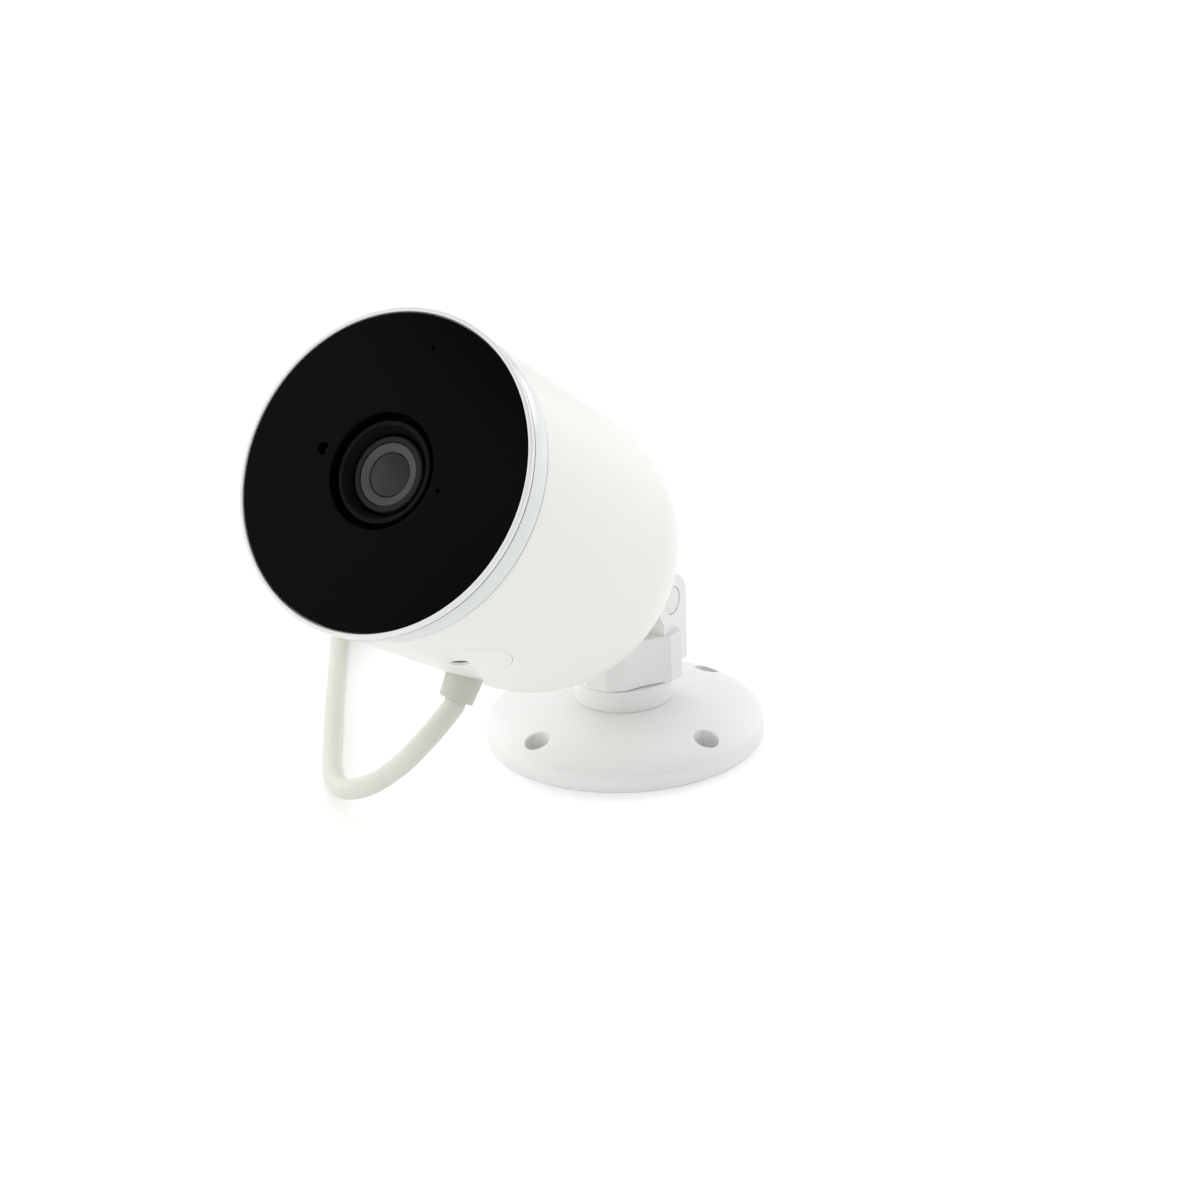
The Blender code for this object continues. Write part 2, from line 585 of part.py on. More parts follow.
# ---------------------------------------------------------------- neck

def make_neck():
    """The neck that stands on the casing's dome and ends in the hinge's eye."""
    stem_start = SHELL_LENGTH + GAP
    outline = [
        (0.0, stem_start - 0.0045), (0.0115, stem_start - 0.0045),
        (0.0115, stem_start - 0.0010), (0.0108, stem_start + 0.0006),
        (0.0085, stem_start + 0.0032), (0.0070, stem_start + 0.0070),
        (0.0066, FACE_REACH), (0.0, FACE_REACH),
    ]
    neck = turned("neck_arm", outline, WHITE, TILT, (0, 0, station(0)), steps=32)
    across = (0, pi / 2, 0)
    join(neck, cylinder("neck_eye", EYE_RADIUS, -0.0071, 0.0071, None, TILT, (0, 0, 0),
                        across, sides=32))
    cut(neck, turned("neck_seat", neck_seat_outline(), None, TILT, (0, 0, station(0)),
                     steps=32),
        cylinder("neck_eye_bore", 0.0031, -0.02, 0.02, None, TILT, (0, 0, 0), across),
        cylinder("neck_blind_bore", 0.0019, station(0.080), station(0.1085), None, TILT))
    bush = cylinder("hinge_bush", 0.0028, -0.0069, 0.0069, BRASS, TILT, (0, 0, 0), across)
    cut(bush, cylinder("bush_bore", TILT_BOLT_RADIUS + 0.0001, -0.02, 0.02, None, TILT,
                       (0, 0, 0), across))
    turned("neck_screw", [(0.0, 0.0920), (0.0040, 0.0920), (0.0040, 0.0950),
                          (0.0016, 0.0955), (0.0016, 0.1075), (0.0, 0.1075)],
           STEEL, TILT, (0, 0, station(0)), steps=24)


def neck_seat_outline():
    """The casing's dome grown by the fit gap, which hollows the neck's foot."""
    deep = SHELL_LENGTH - SHELL_DOME_START + GAP
    wide = SHELL_RADIUS + GAP
    dome = [(wide * cos(pi / 2 * i / 16), SHELL_DOME_START + deep * sin(pi / 2 * i / 16))
            for i in range(16)]
    return [(0.0, SHELL_DOME_START)] + dome + [(0.0, SHELL_DOME_START + deep)]


# ---------------------------------------------------------------- cord

def smooth_route(points, step):
    """Evenly spaced points on the smooth curve that runs through a route's points."""
    path = [Vector(point) for point in points]
    ends = [path[0] * 2 - path[1]] + path + [path[-1] * 2 - path[-2]]
    dense = []
    for a, b, c, d in zip(ends, ends[1:], ends[2:], ends[3:]):
        for i in range(16):
            t = i / 16
            dense.append(0.5 * ((2 * b) + (c - a) * t + (2 * a - 5 * b + 4 * c - d) * t ** 2
                                + (3 * b - a - 3 * c + d) * t ** 3))
    dense.append(path[-1])
    lengths = [0.0]
    for a, b in zip(dense, dense[1:]):
        lengths.append(lengths[-1] + (b - a).length)
    count = max(2, round(lengths[-1] / step))
    marks = []
    i = 0
    for k in range(count + 1):
        target = lengths[-1] * k / count
        while i < len(lengths) - 2 and lengths[i + 1] < target:
            i += 1
        span = lengths[i + 1] - lengths[i]
        marks.append(dense[i].lerp(dense[i + 1], (target - lengths[i]) / span))
    return marks


def tube(name, points, radius, finish, parent, resolution=2):
    """A round tube along a POLY spline."""
    curve = bpy.data.curves.new(name, "CURVE")
    curve.dimensions = "3D"
    curve.bevel_depth = radius
    curve.bevel_resolution = resolution
    curve.use_fill_caps = True
    spline = curve.splines.new("POLY")
    spline.points.add(len(points) - 1)
    for point, spot in zip(spline.points, points):
        point.co = (*spot, 1.0)
    return place(name, curve, finish, parent)


def head_point(spot):
    """World place, at rest, of a point given across, down and behind the window."""
    turn = Matrix.Rotation(-(pi / 2 + HEAD_TILT), 3, "X")
    return HINGE + turn @ Vector((spot.x, spot.y, station(spot.z)))


def make_gland():
    """The gland on the underside with the nut and the lead inside the casing."""
    turned("cord_gland", [
        (0.0, 0.0270), (GLAND_NECK, 0.0270), (GLAND_NECK, GLAND_TOP),
        (GLAND_RADIUS - 0.0002, GLAND_TOP), (GLAND_RADIUS, GLAND_TOP + 0.0002),
        (GLAND_RADIUS - 0.0001, GLAND_END - 0.0002), (GLAND_RADIUS - 0.0003, GLAND_END),
        (0.0, GLAND_END)], CORD_GREY, GLAND, steps=32)
    nut = cylinder("gland_nut", 0.0056, 0.0280, 0.0312, CORD_GREY, GLAND, sides=6)
    cut(nut, cylinder("gland_nut_bore", GLAND_NECK + GAP, 0.02, 0.04, None, GLAND))
    start = Vector((0.001, 0.0262, station(GLAND_STATION)))
    route = [start, start + Vector((0, -0.004, 0.0004)), start + Vector((0, -0.008, 0.0040)),
             start + Vector((-0.003, -0.0115, 0.0085)), start + Vector((-0.006, -0.0165, 0.0120)),
             Vector((-0.008, 0.0078, station(0.0690)))]
    tube("inner_lead", smooth_route(route, 0.004), 0.0013, CORD_GREY, TILT)


def run_direction():
    """Direction on the ground in which the lead reaches the coil."""
    return Vector((-sin(RUN_ANGLE), cos(RUN_ANGLE), 0.0))


def make_cord():
    """The lead to the coil, the coil's ring, the tail and the plug."""
    onward = run_direction()
    aside = Vector((cos(RUN_ANGLE), sin(RUN_ANGLE), 0.0))
    turn_radius = COIL_OUTER - CORD_RADIUS
    lift = Vector((0, 0, FLOOR_LIFT))
    lead_end = COIL_CENTRE - aside * turn_radius - onward * 0.0205 + lift
    start = head_point(GLAND_FOOT + GLAND_LINE * CORD_START)
    route = [start] + [Vector(point) for point in LEAD_ROUTE] + [lead_end]
    tube("cord_lead", smooth_route(route, CORD_STEP), CORD_RADIUS, CORD_GREY, PAN)
    edge = 0.002
    ring = [(COIL_INNER, edge), (COIL_INNER, COIL_HEIGHT - edge),
            (COIL_INNER + edge, COIL_HEIGHT), (COIL_OUTER - edge, COIL_HEIGHT),
            (COIL_OUTER, COIL_HEIGHT - edge), (COIL_OUTER, edge),
            (COIL_OUTER - edge, 0.0), (COIL_INNER + edge, 0.0)]
    turned("cord_coil", ring, CORD_GREY, PAN, COIL_CENTRE, steps=32)
    tail_start = COIL_CENTRE + aside * turn_radius - onward * 0.0205 + lift
    tail_end = tail_start - onward * 0.0135 + Vector((0, 0, 0.0013))
    tail = [tail_start, tail_start - onward * 0.0065 + Vector((0, 0, 0.0004)), tail_end]
    tube("cord_tail", smooth_route(tail, 0.0045), CORD_RADIUS, CORD_GREY, PAN)
    plug_at = tail_end - onward * (0.010 + GAP)
    grip = box("plug_grip", (0.0155, 0.020, 0.0076), CORD_GREY, PAN,
               (plug_at.x, plug_at.y, 0.0038), (0, 0, RUN_ANGLE))
    soften = grip.modifiers.new("round", "BEVEL")
    soften.width = 0.0012
    soften.segments = 2
    shell_at = plug_at - onward * (0.010 + GAP + 0.006)
    shell = box("plug_contact", (0.012, 0.012, 0.0045), STEEL, PAN,
                (shell_at.x, shell_at.y, 0.0038), (0, 0, RUN_ANGLE))
    hollow = box("plug_mouth", (0.0112, 0.011, 0.0018), None, PAN,
                 (shell_at.x - onward.x * 0.0012, shell_at.y - onward.y * 0.0012, 0.0048),
                 (0, 0, RUN_ANGLE))
    cut(shell, hollow)


make_base()
make_yoke()
make_hinge()
make_shell()
make_hatch()
make_front()
make_lens()
make_lamps()
make_electronics()
make_service_board()
make_neck()
make_gland()
make_cord()
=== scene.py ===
import bmesh
import bpy
import json
from math import cos, pi, radians, sin, sqrt
from mathutils import Matrix, Vector


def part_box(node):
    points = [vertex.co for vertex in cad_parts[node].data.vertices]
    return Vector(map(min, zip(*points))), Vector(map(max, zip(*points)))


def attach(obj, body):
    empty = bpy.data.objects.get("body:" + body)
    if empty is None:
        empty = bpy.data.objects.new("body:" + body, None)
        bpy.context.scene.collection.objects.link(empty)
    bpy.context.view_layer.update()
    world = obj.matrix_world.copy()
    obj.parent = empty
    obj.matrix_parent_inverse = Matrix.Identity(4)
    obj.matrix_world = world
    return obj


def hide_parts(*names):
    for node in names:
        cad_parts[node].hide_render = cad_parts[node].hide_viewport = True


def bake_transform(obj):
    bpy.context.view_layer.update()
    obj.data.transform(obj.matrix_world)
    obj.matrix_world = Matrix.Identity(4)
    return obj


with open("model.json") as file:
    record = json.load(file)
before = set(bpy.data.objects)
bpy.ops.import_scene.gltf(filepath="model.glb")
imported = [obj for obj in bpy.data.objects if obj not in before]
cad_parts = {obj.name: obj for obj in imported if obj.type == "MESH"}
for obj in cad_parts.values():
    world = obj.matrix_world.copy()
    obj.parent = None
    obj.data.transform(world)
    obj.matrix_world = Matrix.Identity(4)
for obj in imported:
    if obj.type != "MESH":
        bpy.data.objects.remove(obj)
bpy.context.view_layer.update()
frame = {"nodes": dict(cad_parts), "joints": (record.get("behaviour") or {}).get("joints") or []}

# A bullet security camera on a pan and tilt bracket, with its supply cord.

# ---------------------------------------------------------------- places from the frame

NODES = frame["nodes"]
JOINTS = {joint["name"]: joint for joint in frame["joints"]}
HINGE = Vector(JOINTS["head_tilt"]["pos_m"])
HEAD_TILT = radians(32.9)
HINGE_FRAME = Matrix.Translation(HINGE) @ Matrix.Rotation(-(pi / 2 + HEAD_TILT), 4, "X")


def span(node, base):
    """Lowest and highest corner of a CAD node, measured in another frame."""
    back = base.inverted()
    spots = [back @ vertex.co for vertex in NODES[node].data.vertices]
    return (Vector([min(spot[i] for spot in spots) for i in range(3)]),
            Vector([max(spot[i] for spot in spots) for i in range(3)]))


# The head's own frame: X across, Y to its underside, Z backwards from its front face.
FACE_REACH = -span("front_bezel", HINGE_FRAME)[0].z
HEAD = HINGE_FRAME @ Matrix.Translation((0, 0, -FACE_REACH))


def radius_and_ends(node, base=HEAD):
    """Outer radius and the two ends of a turned CAD node along its frame's Z."""
    low, high = span(node, base)
    return high.x, low.z, high.z


WINDOW_RADIUS, WINDOW_FRONT, WINDOW_BACK = radius_and_ends("front_window")
BEZEL_RADIUS, BEZEL_FRONT, BEZEL_BACK = radius_and_ends("front_bezel")
BAND_RADIUS, BAND_FRONT, BAND_REAR = radius_and_ends("trim_band")
SHELL_FRONT_RADIUS, SHELL_FRONT, SHELL_LENGTH = radius_and_ends("body_shell")
BASE_RADIUS, BASE_BOTTOM, BOSS_TOP = radius_and_ends("base_plate", Matrix.Identity(4))
COLLAR_RADIUS, COLLAR_BOTTOM, COLLAR_TOP = radius_and_ends("swivel_collar", Matrix.Identity(4))

# Sizes that the frame's boxes don't give, in metres, as the CAD has them.
GAP = 0.0003
SHELL_RADIUS = 0.0344
SHELL_DOME_START = 0.067
SHELL_WALL = 0.002
LENS_OPENING = 0.0126
# Each small hole of the window: across, towards the underside, radius.
PANE_HOLES = ((-0.0159, -0.0026, 0.00135), (0.0046, -0.0273, 0.0005), (0.0148, 0.0021, 0.0005))
DOME_REACH = 0.0362
DOME_FOOT = 0.0023
DOME_RISE = 0.0089
BOSS_RADIUS = 0.007
SCREW_CIRCLE = 0.0296
SCREW_HOLE_RADIUS = 0.0031
SCREW_HOLE_ANGLE = radians(253.3)
BOLT_HOLE = 0.0023
EYE_RADIUS = 0.006
HATCH_ANGLE = radians(17.5)
# The way from the head's axis to the middle of the hatch.
HATCH_AWAY = Vector((sin(HATCH_ANGLE), cos(HATCH_ANGLE), 0.0))
HATCH_HALF_WIDTH = 0.0104
HATCH_FRONT_CENTRE = 0.0322
HATCH_REAR_CENTRE = 0.0351
HATCH_SCREW_HOLE = 0.002
# Cutters through the casing's underside run between these distances from the head's axis.
CUT_LOW, CUT_HIGH = 0.020, 0.045
GLAND_STATION = 0.0522
GLAND_LEAN = radians(6)
GLAND_RADIUS = 0.0043
GLAND_NECK = 0.003
GLAND_TOP = 0.0349
GLAND_END = 0.0401
CORD_START = GLAND_END + 0.0014
GLAND_LINE = Vector((-sin(GLAND_LEAN), cos(GLAND_LEAN), 0.0))
GLAND_FOOT = Vector((0.0001, GLAND_TOP, GLAND_STATION)) - GLAND_LINE * GLAND_TOP
CORD_DIAMETER = 0.005
CORD_RADIUS = CORD_DIAMETER / 2

# Facets round a turned piece: small, middling and large ones.
SMALL_ROUND, MIDDLE_ROUND, LARGE_ROUND = 64, 160, 224

# ---------------------------------------------------------------- camera, floor and light

CAMERA_AZIMUTH = radians(31.44)


def make_camera():
    """A long lens above and to the right of the object, a little rolled."""
    elevation, roll = radians(22.5404), radians(-2.0648)
    distance, aside, above = 0.59065, -0.00641, 0.03322
    turn = Matrix.Rotation(CAMERA_AZIMUTH, 3, "Z")
    back = turn @ Vector((0, -cos(elevation), sin(elevation)))
    level = turn @ Vector((1, 0, 0))
    upright = turn @ Vector((0, sin(elevation), cos(elevation)))
    right = level * cos(roll) + upright * sin(roll)
    up = upright * cos(roll) - level * sin(roll)
    lens = bpy.data.cameras.new("camera")
    lens.lens, lens.sensor_width = 69.0, 36.0
    lens.clip_start, lens.clip_end = 0.01, 20.0
    camera = bpy.data.objects.new("camera", lens)
    bpy.context.scene.collection.objects.link(camera)
    axes = Matrix((right, up, back)).transposed().to_4x4()
    camera.matrix_world = Matrix.Translation(back * distance + right * aside + up * above) @ axes
    bpy.context.scene.camera = camera


def make_floor():
    """A plain white floor, a hair under the object."""
    data = bpy.data.meshes.new("floor")
    half, drop = 6.0, 0.00005
    corners = [(-half, -half, 0), (half, -half, 0), (half, half, 0), (-half, half, 0)]
    data.from_pydata(corners, [], [(0, 1, 2, 3)])
    floor = bpy.data.objects.new("floor", data)
    floor.location.z = -drop
    bpy.context.scene.collection.objects.link(floor)
    data.materials.append(finish("studio_floor", (0.93, 0.93, 0.93), 0.8, tone=0.01, grain=90,
                                 bump=0.0, Emission_Color=(1, 1, 1, 1),
                                 Emission_Strength=0.121))


def make_lights():
    """A white room with a ring of soft boxes, which are strongest behind the object."""
    world = bpy.data.worlds.new("white_room")
    world.use_nodes = True
    background = world.node_tree.nodes["Background"]
    background.inputs["Color"].default_value = (1.0, 1.0, 1.0, 1.0)
    background.inputs["Strength"].default_value = 0.597
    bpy.context.scene.world = world
    aim, size = Vector((0, -0.03, 0.06)), 1.1
    turn = Matrix.Rotation(CAMERA_AZIMUTH, 3, "Z")
    # Each place is metres right of, behind and above the object as the camera sees it.
    boxes = (("left_box", (-1.5, 0.0, 0.6), 4.0), ("right_box", (1.5, 0.0, 0.6), 4.5),
             ("back_left_box", (-1.1, 1.1, 0.7), 7.3), ("back_right_box", (1.1, 1.1, 0.7), 8.0),
             ("front_left_box", (-1.1, -1.1, 0.7), 3.5), ("low_left_box", (-1.4, -0.4, 0.2), 2.0),
             ("top_box", (0.0, 1.0, 1.4), 5.8))
    for name, place, power in boxes:
        data = bpy.data.lights.new(name, "AREA")
        data.shape, data.size, data.energy = "SQUARE", size, power
        lamp = bpy.data.objects.new(name, data)
        lamp.location = turn @ Vector(place)
        lamp.rotation_euler = (aim - lamp.location).to_track_quat("-Z", "Y").to_euler()
        bpy.context.scene.collection.objects.link(lamp)


# ---------------------------------------------------------------- finishes


def finish(name, colour, roughness, metallic=0.0, tone=0.04, grain=2600.0, bump=0.04,
           rough_change=0.06, **constants):
    """A Principled finish with a fine grain, if it has bump, uneven gloss and uneven tone."""
    made = bpy.data.materials.new(name)
    made.use_nodes = True
    tree = made.node_tree
    shader = tree.nodes["Principled BSDF"]
    shader.inputs["Metallic"].default_value = metallic
    for key, value in constants.items():
        shader.inputs[key.replace("_", " ")].default_value = value
    place = tree.nodes.new("ShaderNodeTexCoord")

    def noise(scale, detail):
        cloud = tree.nodes.new("ShaderNodeTexNoise")
        cloud.inputs["Scale"].default_value = scale
        cloud.inputs["Detail"].default_value = detail
        tree.links.new(place.outputs["Object"], cloud.inputs["Vector"])
        return cloud.outputs["Fac"]

    tones = tree.nodes.new("ShaderNodeMix")
    tones.data_type = "RGBA"
    tones.inputs["A"].default_value = (*[c * (1 - tone) for c in colour], 1)
    tones.inputs["B"].default_value = (*[min(1.0, c * (1 + tone)) for c in colour], 1)
    tree.links.new(noise(scale=38.0, detail=3.0), tones.inputs["Factor"])
    tree.links.new(tones.outputs["Result"], shader.inputs["Base Color"])
    gloss = tree.nodes.new("ShaderNodeMapRange")
    gloss.inputs["To Min"].default_value = max(0.0, roughness - rough_change)
    gloss.inputs["To Max"].default_value = min(1.0, roughness + rough_change)
    tree.links.new(noise(grain / 9, detail=4.0), gloss.inputs["Value"])
    tree.links.new(gloss.outputs["Result"], shader.inputs["Roughness"])
    if bump:
        relief = tree.nodes.new("ShaderNodeBump")
        relief.inputs["Strength"].default_value = bump
        relief.inputs["Distance"].default_value = 0.0002
        tree.links.new(noise(grain, detail=2.0), relief.inputs["Height"])
        tree.links.new(relief.outputs["Normal"], shader.inputs["Normal"])
    return made


def board_finish(name, mask, track, pad):
    """Solder mask with a pattern of copper tracks and round pads."""
    made = finish(name, mask, 0.4, grain=1200)
    tree = made.node_tree
    shader = tree.nodes["Principled BSDF"]
    place = tree.nodes["Texture Coordinate"]
    tracks = tree.nodes.new("ShaderNodeTexBrick")
    tracks.inputs["Scale"].default_value = 260.0
    tracks.inputs["Mortar Size"].default_value = 0.035
    tracks.inputs["Color1"].default_value = (*mask, 1)
    tracks.inputs["Color2"].default_value = (*[tint * 0.85 for tint in mask], 1)
    tracks.inputs["Mortar"].default_value = (*track, 1)
    tree.links.new(place.outputs["Object"], tracks.inputs["Vector"])
    pads = tree.nodes.new("ShaderNodeTexVoronoi")
    pads.inputs["Scale"].default_value = 420.0
    tree.links.new(place.outputs["Object"], pads.inputs["Vector"])
    edge = tree.nodes.new("ShaderNodeMath")
    edge.operation = "LESS_THAN"
    pad_reach = 0.16
    edge.inputs[1].default_value = pad_reach
    tree.links.new(pads.outputs["Distance"], edge.inputs[0])
    mix = tree.nodes.new("ShaderNodeMix")
    mix.data_type = "RGBA"
    mix.inputs["B"].default_value = (*pad, 1)
    tree.links.new(edge.outputs["Value"], mix.inputs["Factor"])
    tree.links.new(tracks.outputs["Color"], mix.inputs["A"])
    tree.links.new(mix.outputs["Result"], shader.inputs["Base Color"])
    return made


def glass_finish():
    """Coated lens glass: dark, a little green, and paler where it is seen at a slant."""
    made = finish("coated_glass", (0.026, 0.030, 0.028), 0.30, tone=0.1, bump=0.0,
                  rough_change=0.04, Specular_IOR_Level=0.12)
    tree = made.node_tree
    facing = tree.nodes.new("ShaderNodeLayerWeight")
    facing.inputs["Blend"].default_value = 0.35
    tint = tree.nodes.new("ShaderNodeMix")
    tint.data_type = "RGBA"
    tint.inputs["B"].default_value = (0.034, 0.038, 0.039, 1)
    shader = tree.nodes["Principled BSDF"]
    source = shader.inputs["Base Color"].links[0].from_socket
    tree.links.new(source, tint.inputs["A"])
    tree.links.new(facing.outputs["Facing"], tint.inputs["Factor"])
    tree.links.new(tint.outputs["Result"], shader.inputs["Base Color"])
    return made


FINISHES = {
    "casing": finish("casing_white", (0.80, 0.80, 0.775), 0.36, tone=0.012, bump=0.05),
    "bracket": finish("bracket_white", (0.79, 0.787, 0.778), 0.46, tone=0.014, grain=1900,
                      bump=0.10),
    "rim": finish("bezel_white", (0.80, 0.80, 0.79), 0.25, tone=0.01, bump=0.02),
    "window": finish("window_black", (0.0014, 0.0014, 0.0014), 0.12, tone=0.15, bump=0.006,
                     grain=700, rough_change=0.02, Specular_IOR_Level=0.03),
    "band": finish("pearl_band", (0.66, 0.69, 0.68), 0.32, 0.35, tone=0.02, bump=0.01,
                   Coat_Weight=0.6, Coat_Roughness=0.12),
    "shroud": finish("shroud_black", (0.0035, 0.0035, 0.0036), 0.6, tone=0.1,
                     Specular_IOR_Level=0.08),
    "barrel": finish("barrel_grey", (0.016, 0.016, 0.0165), 0.55, tone=0.1, bump=0.03,
                     Specular_IOR_Level=0.1),
    "retainer": finish("retainer_grey", (0.075, 0.075, 0.076), 0.5, tone=0.06, bump=0.03,
                       Specular_IOR_Level=0.1),
    "black": finish("black_plastic", (0.012, 0.012, 0.013), 0.5, tone=0.12, bump=0.08),
    "rubber": finish("seal_rubber", (0.028, 0.028, 0.028), 0.8, tone=0.15, grain=1500,
                     bump=0.15),
    "seam": finish("seam_shadow", (0.16, 0.16, 0.155), 0.9, tone=0.1, bump=0.1),
    "shade": finish("soft_shade", (0.32, 0.32, 0.31), 0.9, tone=0.1, bump=0.1),
    "gland": finish("gland_rubber", (0.54, 0.54, 0.475), 0.55, tone=0.03, grain=1500, bump=0.1),
    "cord": finish("cord_jacket", (0.62, 0.625, 0.555), 0.48, tone=0.03, grain=1500,
                   bump=0.08, Sheen_Weight=0.1),
    "steel": finish("turned_steel", (0.60, 0.60, 0.61), 0.28, 1.0, tone=0.06, grain=4200,
                    bump=0.08, rough_change=0.1),
    "coated": finish("coated_steel", (0.77, 0.767, 0.758), 0.45, tone=0.02, grain=3200,
                     bump=0.1),
    "screw": finish("blackened_steel", (0.16, 0.16, 0.165), 0.42, 0.6, tone=0.08, grain=4200,
                    bump=0.1),
    "brass": finish("brass", (0.66, 0.49, 0.24), 0.33, 1.0, tone=0.08, grain=3600,
                    bump=0.08, rough_change=0.1),
    "chip": finish("chip_black", (0.018, 0.018, 0.020), 0.42, tone=0.15, grain=2800,
                   bump=0.12),
    "lamp": finish("lamp_resin", (0.022, 0.012, 0.018), 0.12, tone=0.15, bump=0.01),
    "filter": finish("filter_glass", (0.05, 0.12, 0.13), 0.06, tone=0.08, bump=0.0,
                     rough_change=0.02, Coat_Weight=1.0),
    "board": board_finish("circuit_board", (0.02, 0.12, 0.06), (0.05, 0.22, 0.10),
                          (0.70, 0.55, 0.25)),
    "black_board": board_finish("black_circuit_board", (0.003, 0.003, 0.003),
                                (0.006, 0.006, 0.006), (0.05, 0.045, 0.03)),
    "glass": glass_finish(),
}

# ---------------------------------------------------------------- mesh tools


def put(name, data, look, slot, body, *stands_for):
    """Show a mesh as a piece that rides on a body, if one is given, and stands for CAD nodes."""
    piece = bpy.data.objects.new(name, data)
    data.materials.clear()
    data.materials.append(FINISHES[look])
    bpy.context.scene.collection.objects.link(piece)
    if body:
        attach(piece, body)
    if stands_for:
        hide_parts(*stands_for)
    return piece


def mesh_of(shape, base=None, sharp=32):
    """Turn a bmesh into mesh data in the frame's coordinates, smooth but for sharp edges."""
    if base is not None:
        bmesh.ops.transform(shape, matrix=base, verts=shape.verts)
    bmesh.ops.recalc_face_normals(shape, faces=shape.faces)
    data = bpy.data.meshes.new("shape")
    shape.to_mesh(data)
    shape.free()
    data.shade_smooth()
    data.set_sharp_from_angle(angle=radians(sharp))
    return data


def rounded(outline):
    """Round the corners of a closed outline of (x, y, setback) points."""
    made = []
    most, count = 0.45, 4
    for i, (x, y, setback) in enumerate(outline):
        here = Vector((x, y))
        if setback == 0:
            made.append((x, y))
            continue
        before = Vector(outline[i - 1][:2]) - here
        after = Vector(outline[(i + 1) % len(outline)][:2]) - here
        reach = min(setback, most * before.length, most * after.length)
        a, b = here + before.normalized() * reach, here + after.normalized() * reach
        for k in range(count + 1):
            t = k / count
            made.append(tuple(a * (1 - t) ** 2 + here * 2 * t * (1 - t) + b * t * t))
    return made


def turned(outline, base=None, steps=MIDDLE_ROUND):
    """Turn a closed outline of (radius, height, setback) points about its frame's Z."""
    spots, rings, faces = [], [], []
    for radius, height in rounded(outline):
        sides = 1 if radius < 1e-7 else steps
        rings.append(list(range(len(spots), len(spots) + sides)))
        spots += [(radius * cos(2 * pi * k / steps), radius * sin(2 * pi * k / steps), height)
                  for k in range(sides)]
    for low, high in zip(rings, rings[1:] + rings[:1]):
        if len(low) == len(high) == 1:
            continue
        for k in range(steps):
            n = (k + 1) % steps
            face = [low[k % len(low)], low[n % len(low)], high[n % len(high)],
                    high[k % len(high)]]
            faces.append(list(dict.fromkeys(face)))
    data = bpy.data.meshes.new("turned")
    data.from_pydata(spots, [], faces)
    shape = bmesh.new()
    shape.from_mesh(data)
    bpy.data.meshes.remove(data)
    return mesh_of(shape, base)


def prism(outline, thickness, base=None):
    """Extrude a closed outline of (x, y) points by half its thickness to each side."""
    shape = bmesh.new()
    low = [shape.verts.new((x, y, -thickness / 2)) for x, y in outline]
    high = [shape.verts.new((x, y, thickness / 2)) for x, y in outline]
    shape.faces.new(low)
    shape.faces.new(high)
    for i in range(len(outline)):
        n = (i + 1) % len(outline)
        shape.faces.new((low[i], low[n], high[n], high[i]))
    return mesh_of(shape, base)


def block(size, base=None):
    """A rectangular block centred on its frame."""
    x, y = size[0] / 2, size[1] / 2
    return prism([(-x, -y), (x, -y), (x, y), (-x, y)], size[2], base)


def drum(radius, low, high, base=None, steps=SMALL_ROUND):
    """A plain round cutter between two heights."""
    return turned([(0, low, 0), (radius, low, 0), (radius, high, 0), (0, high, 0)], base, steps)


def hexagon(radius, low, high, base=None):
    """A six-sided bar between two heights."""
    return turned([(0, low, 0), (radius, low, 0), (radius, high, 0), (0, high, 0)], base, 6)


def combined(data, *steps, bevel=0.0, segments=3, sharp=32):
    """Apply (operation, mesh) Booleans in turn, then a bevel on the sharp edges."""
    holder = bpy.data.objects.new("holder", data)
    bpy.context.scene.collection.objects.link(holder)
    others = []
    for operation, other_data in steps:
        other = bpy.data.objects.new("other", other_data)
        bpy.context.scene.collection.objects.link(other)
        others.append(other)
        boolean = holder.modifiers.new("boolean", "BOOLEAN")
        boolean.operation, boolean.solver, boolean.object = operation, "EXACT", other
    if bevel:
        edge = holder.modifiers.new("edge", "BEVEL")
        edge.width, edge.segments = bevel, segments
        edge.limit_method, edge.angle_limit = "ANGLE", radians(sharp)
    bpy.context.view_layer.update()
    graph = bpy.context.evaluated_depsgraph_get()
    made = bpy.data.meshes.new_from_object(holder.evaluated_get(graph))
    for stale in [holder] + others:
        bpy.data.objects.remove(stale, do_unlink=True)
    made.shade_smooth()
    made.set_sharp_from_angle(angle=radians(sharp))
    return made


def along(direction, spot=(0, 0, 0)):
    """A frame at a spot whose Z points in a direction."""
    turn = Vector(direction).to_track_quat("Z", "Y").to_matrix().to_4x4()
    return Matrix.Translation(Vector(spot)) @ turn


def arc(centre, radius, start, end, count):
    """Points on a round stretch of an outline; angles in degrees."""
    angles = [radians(start + (end - start) * i / count) for i in range(count + 1)]
    return [(centre[0] + radius * cos(a), centre[1] + radius * sin(a)) for a in angles]


# ---------------------------------------------------------------- cord

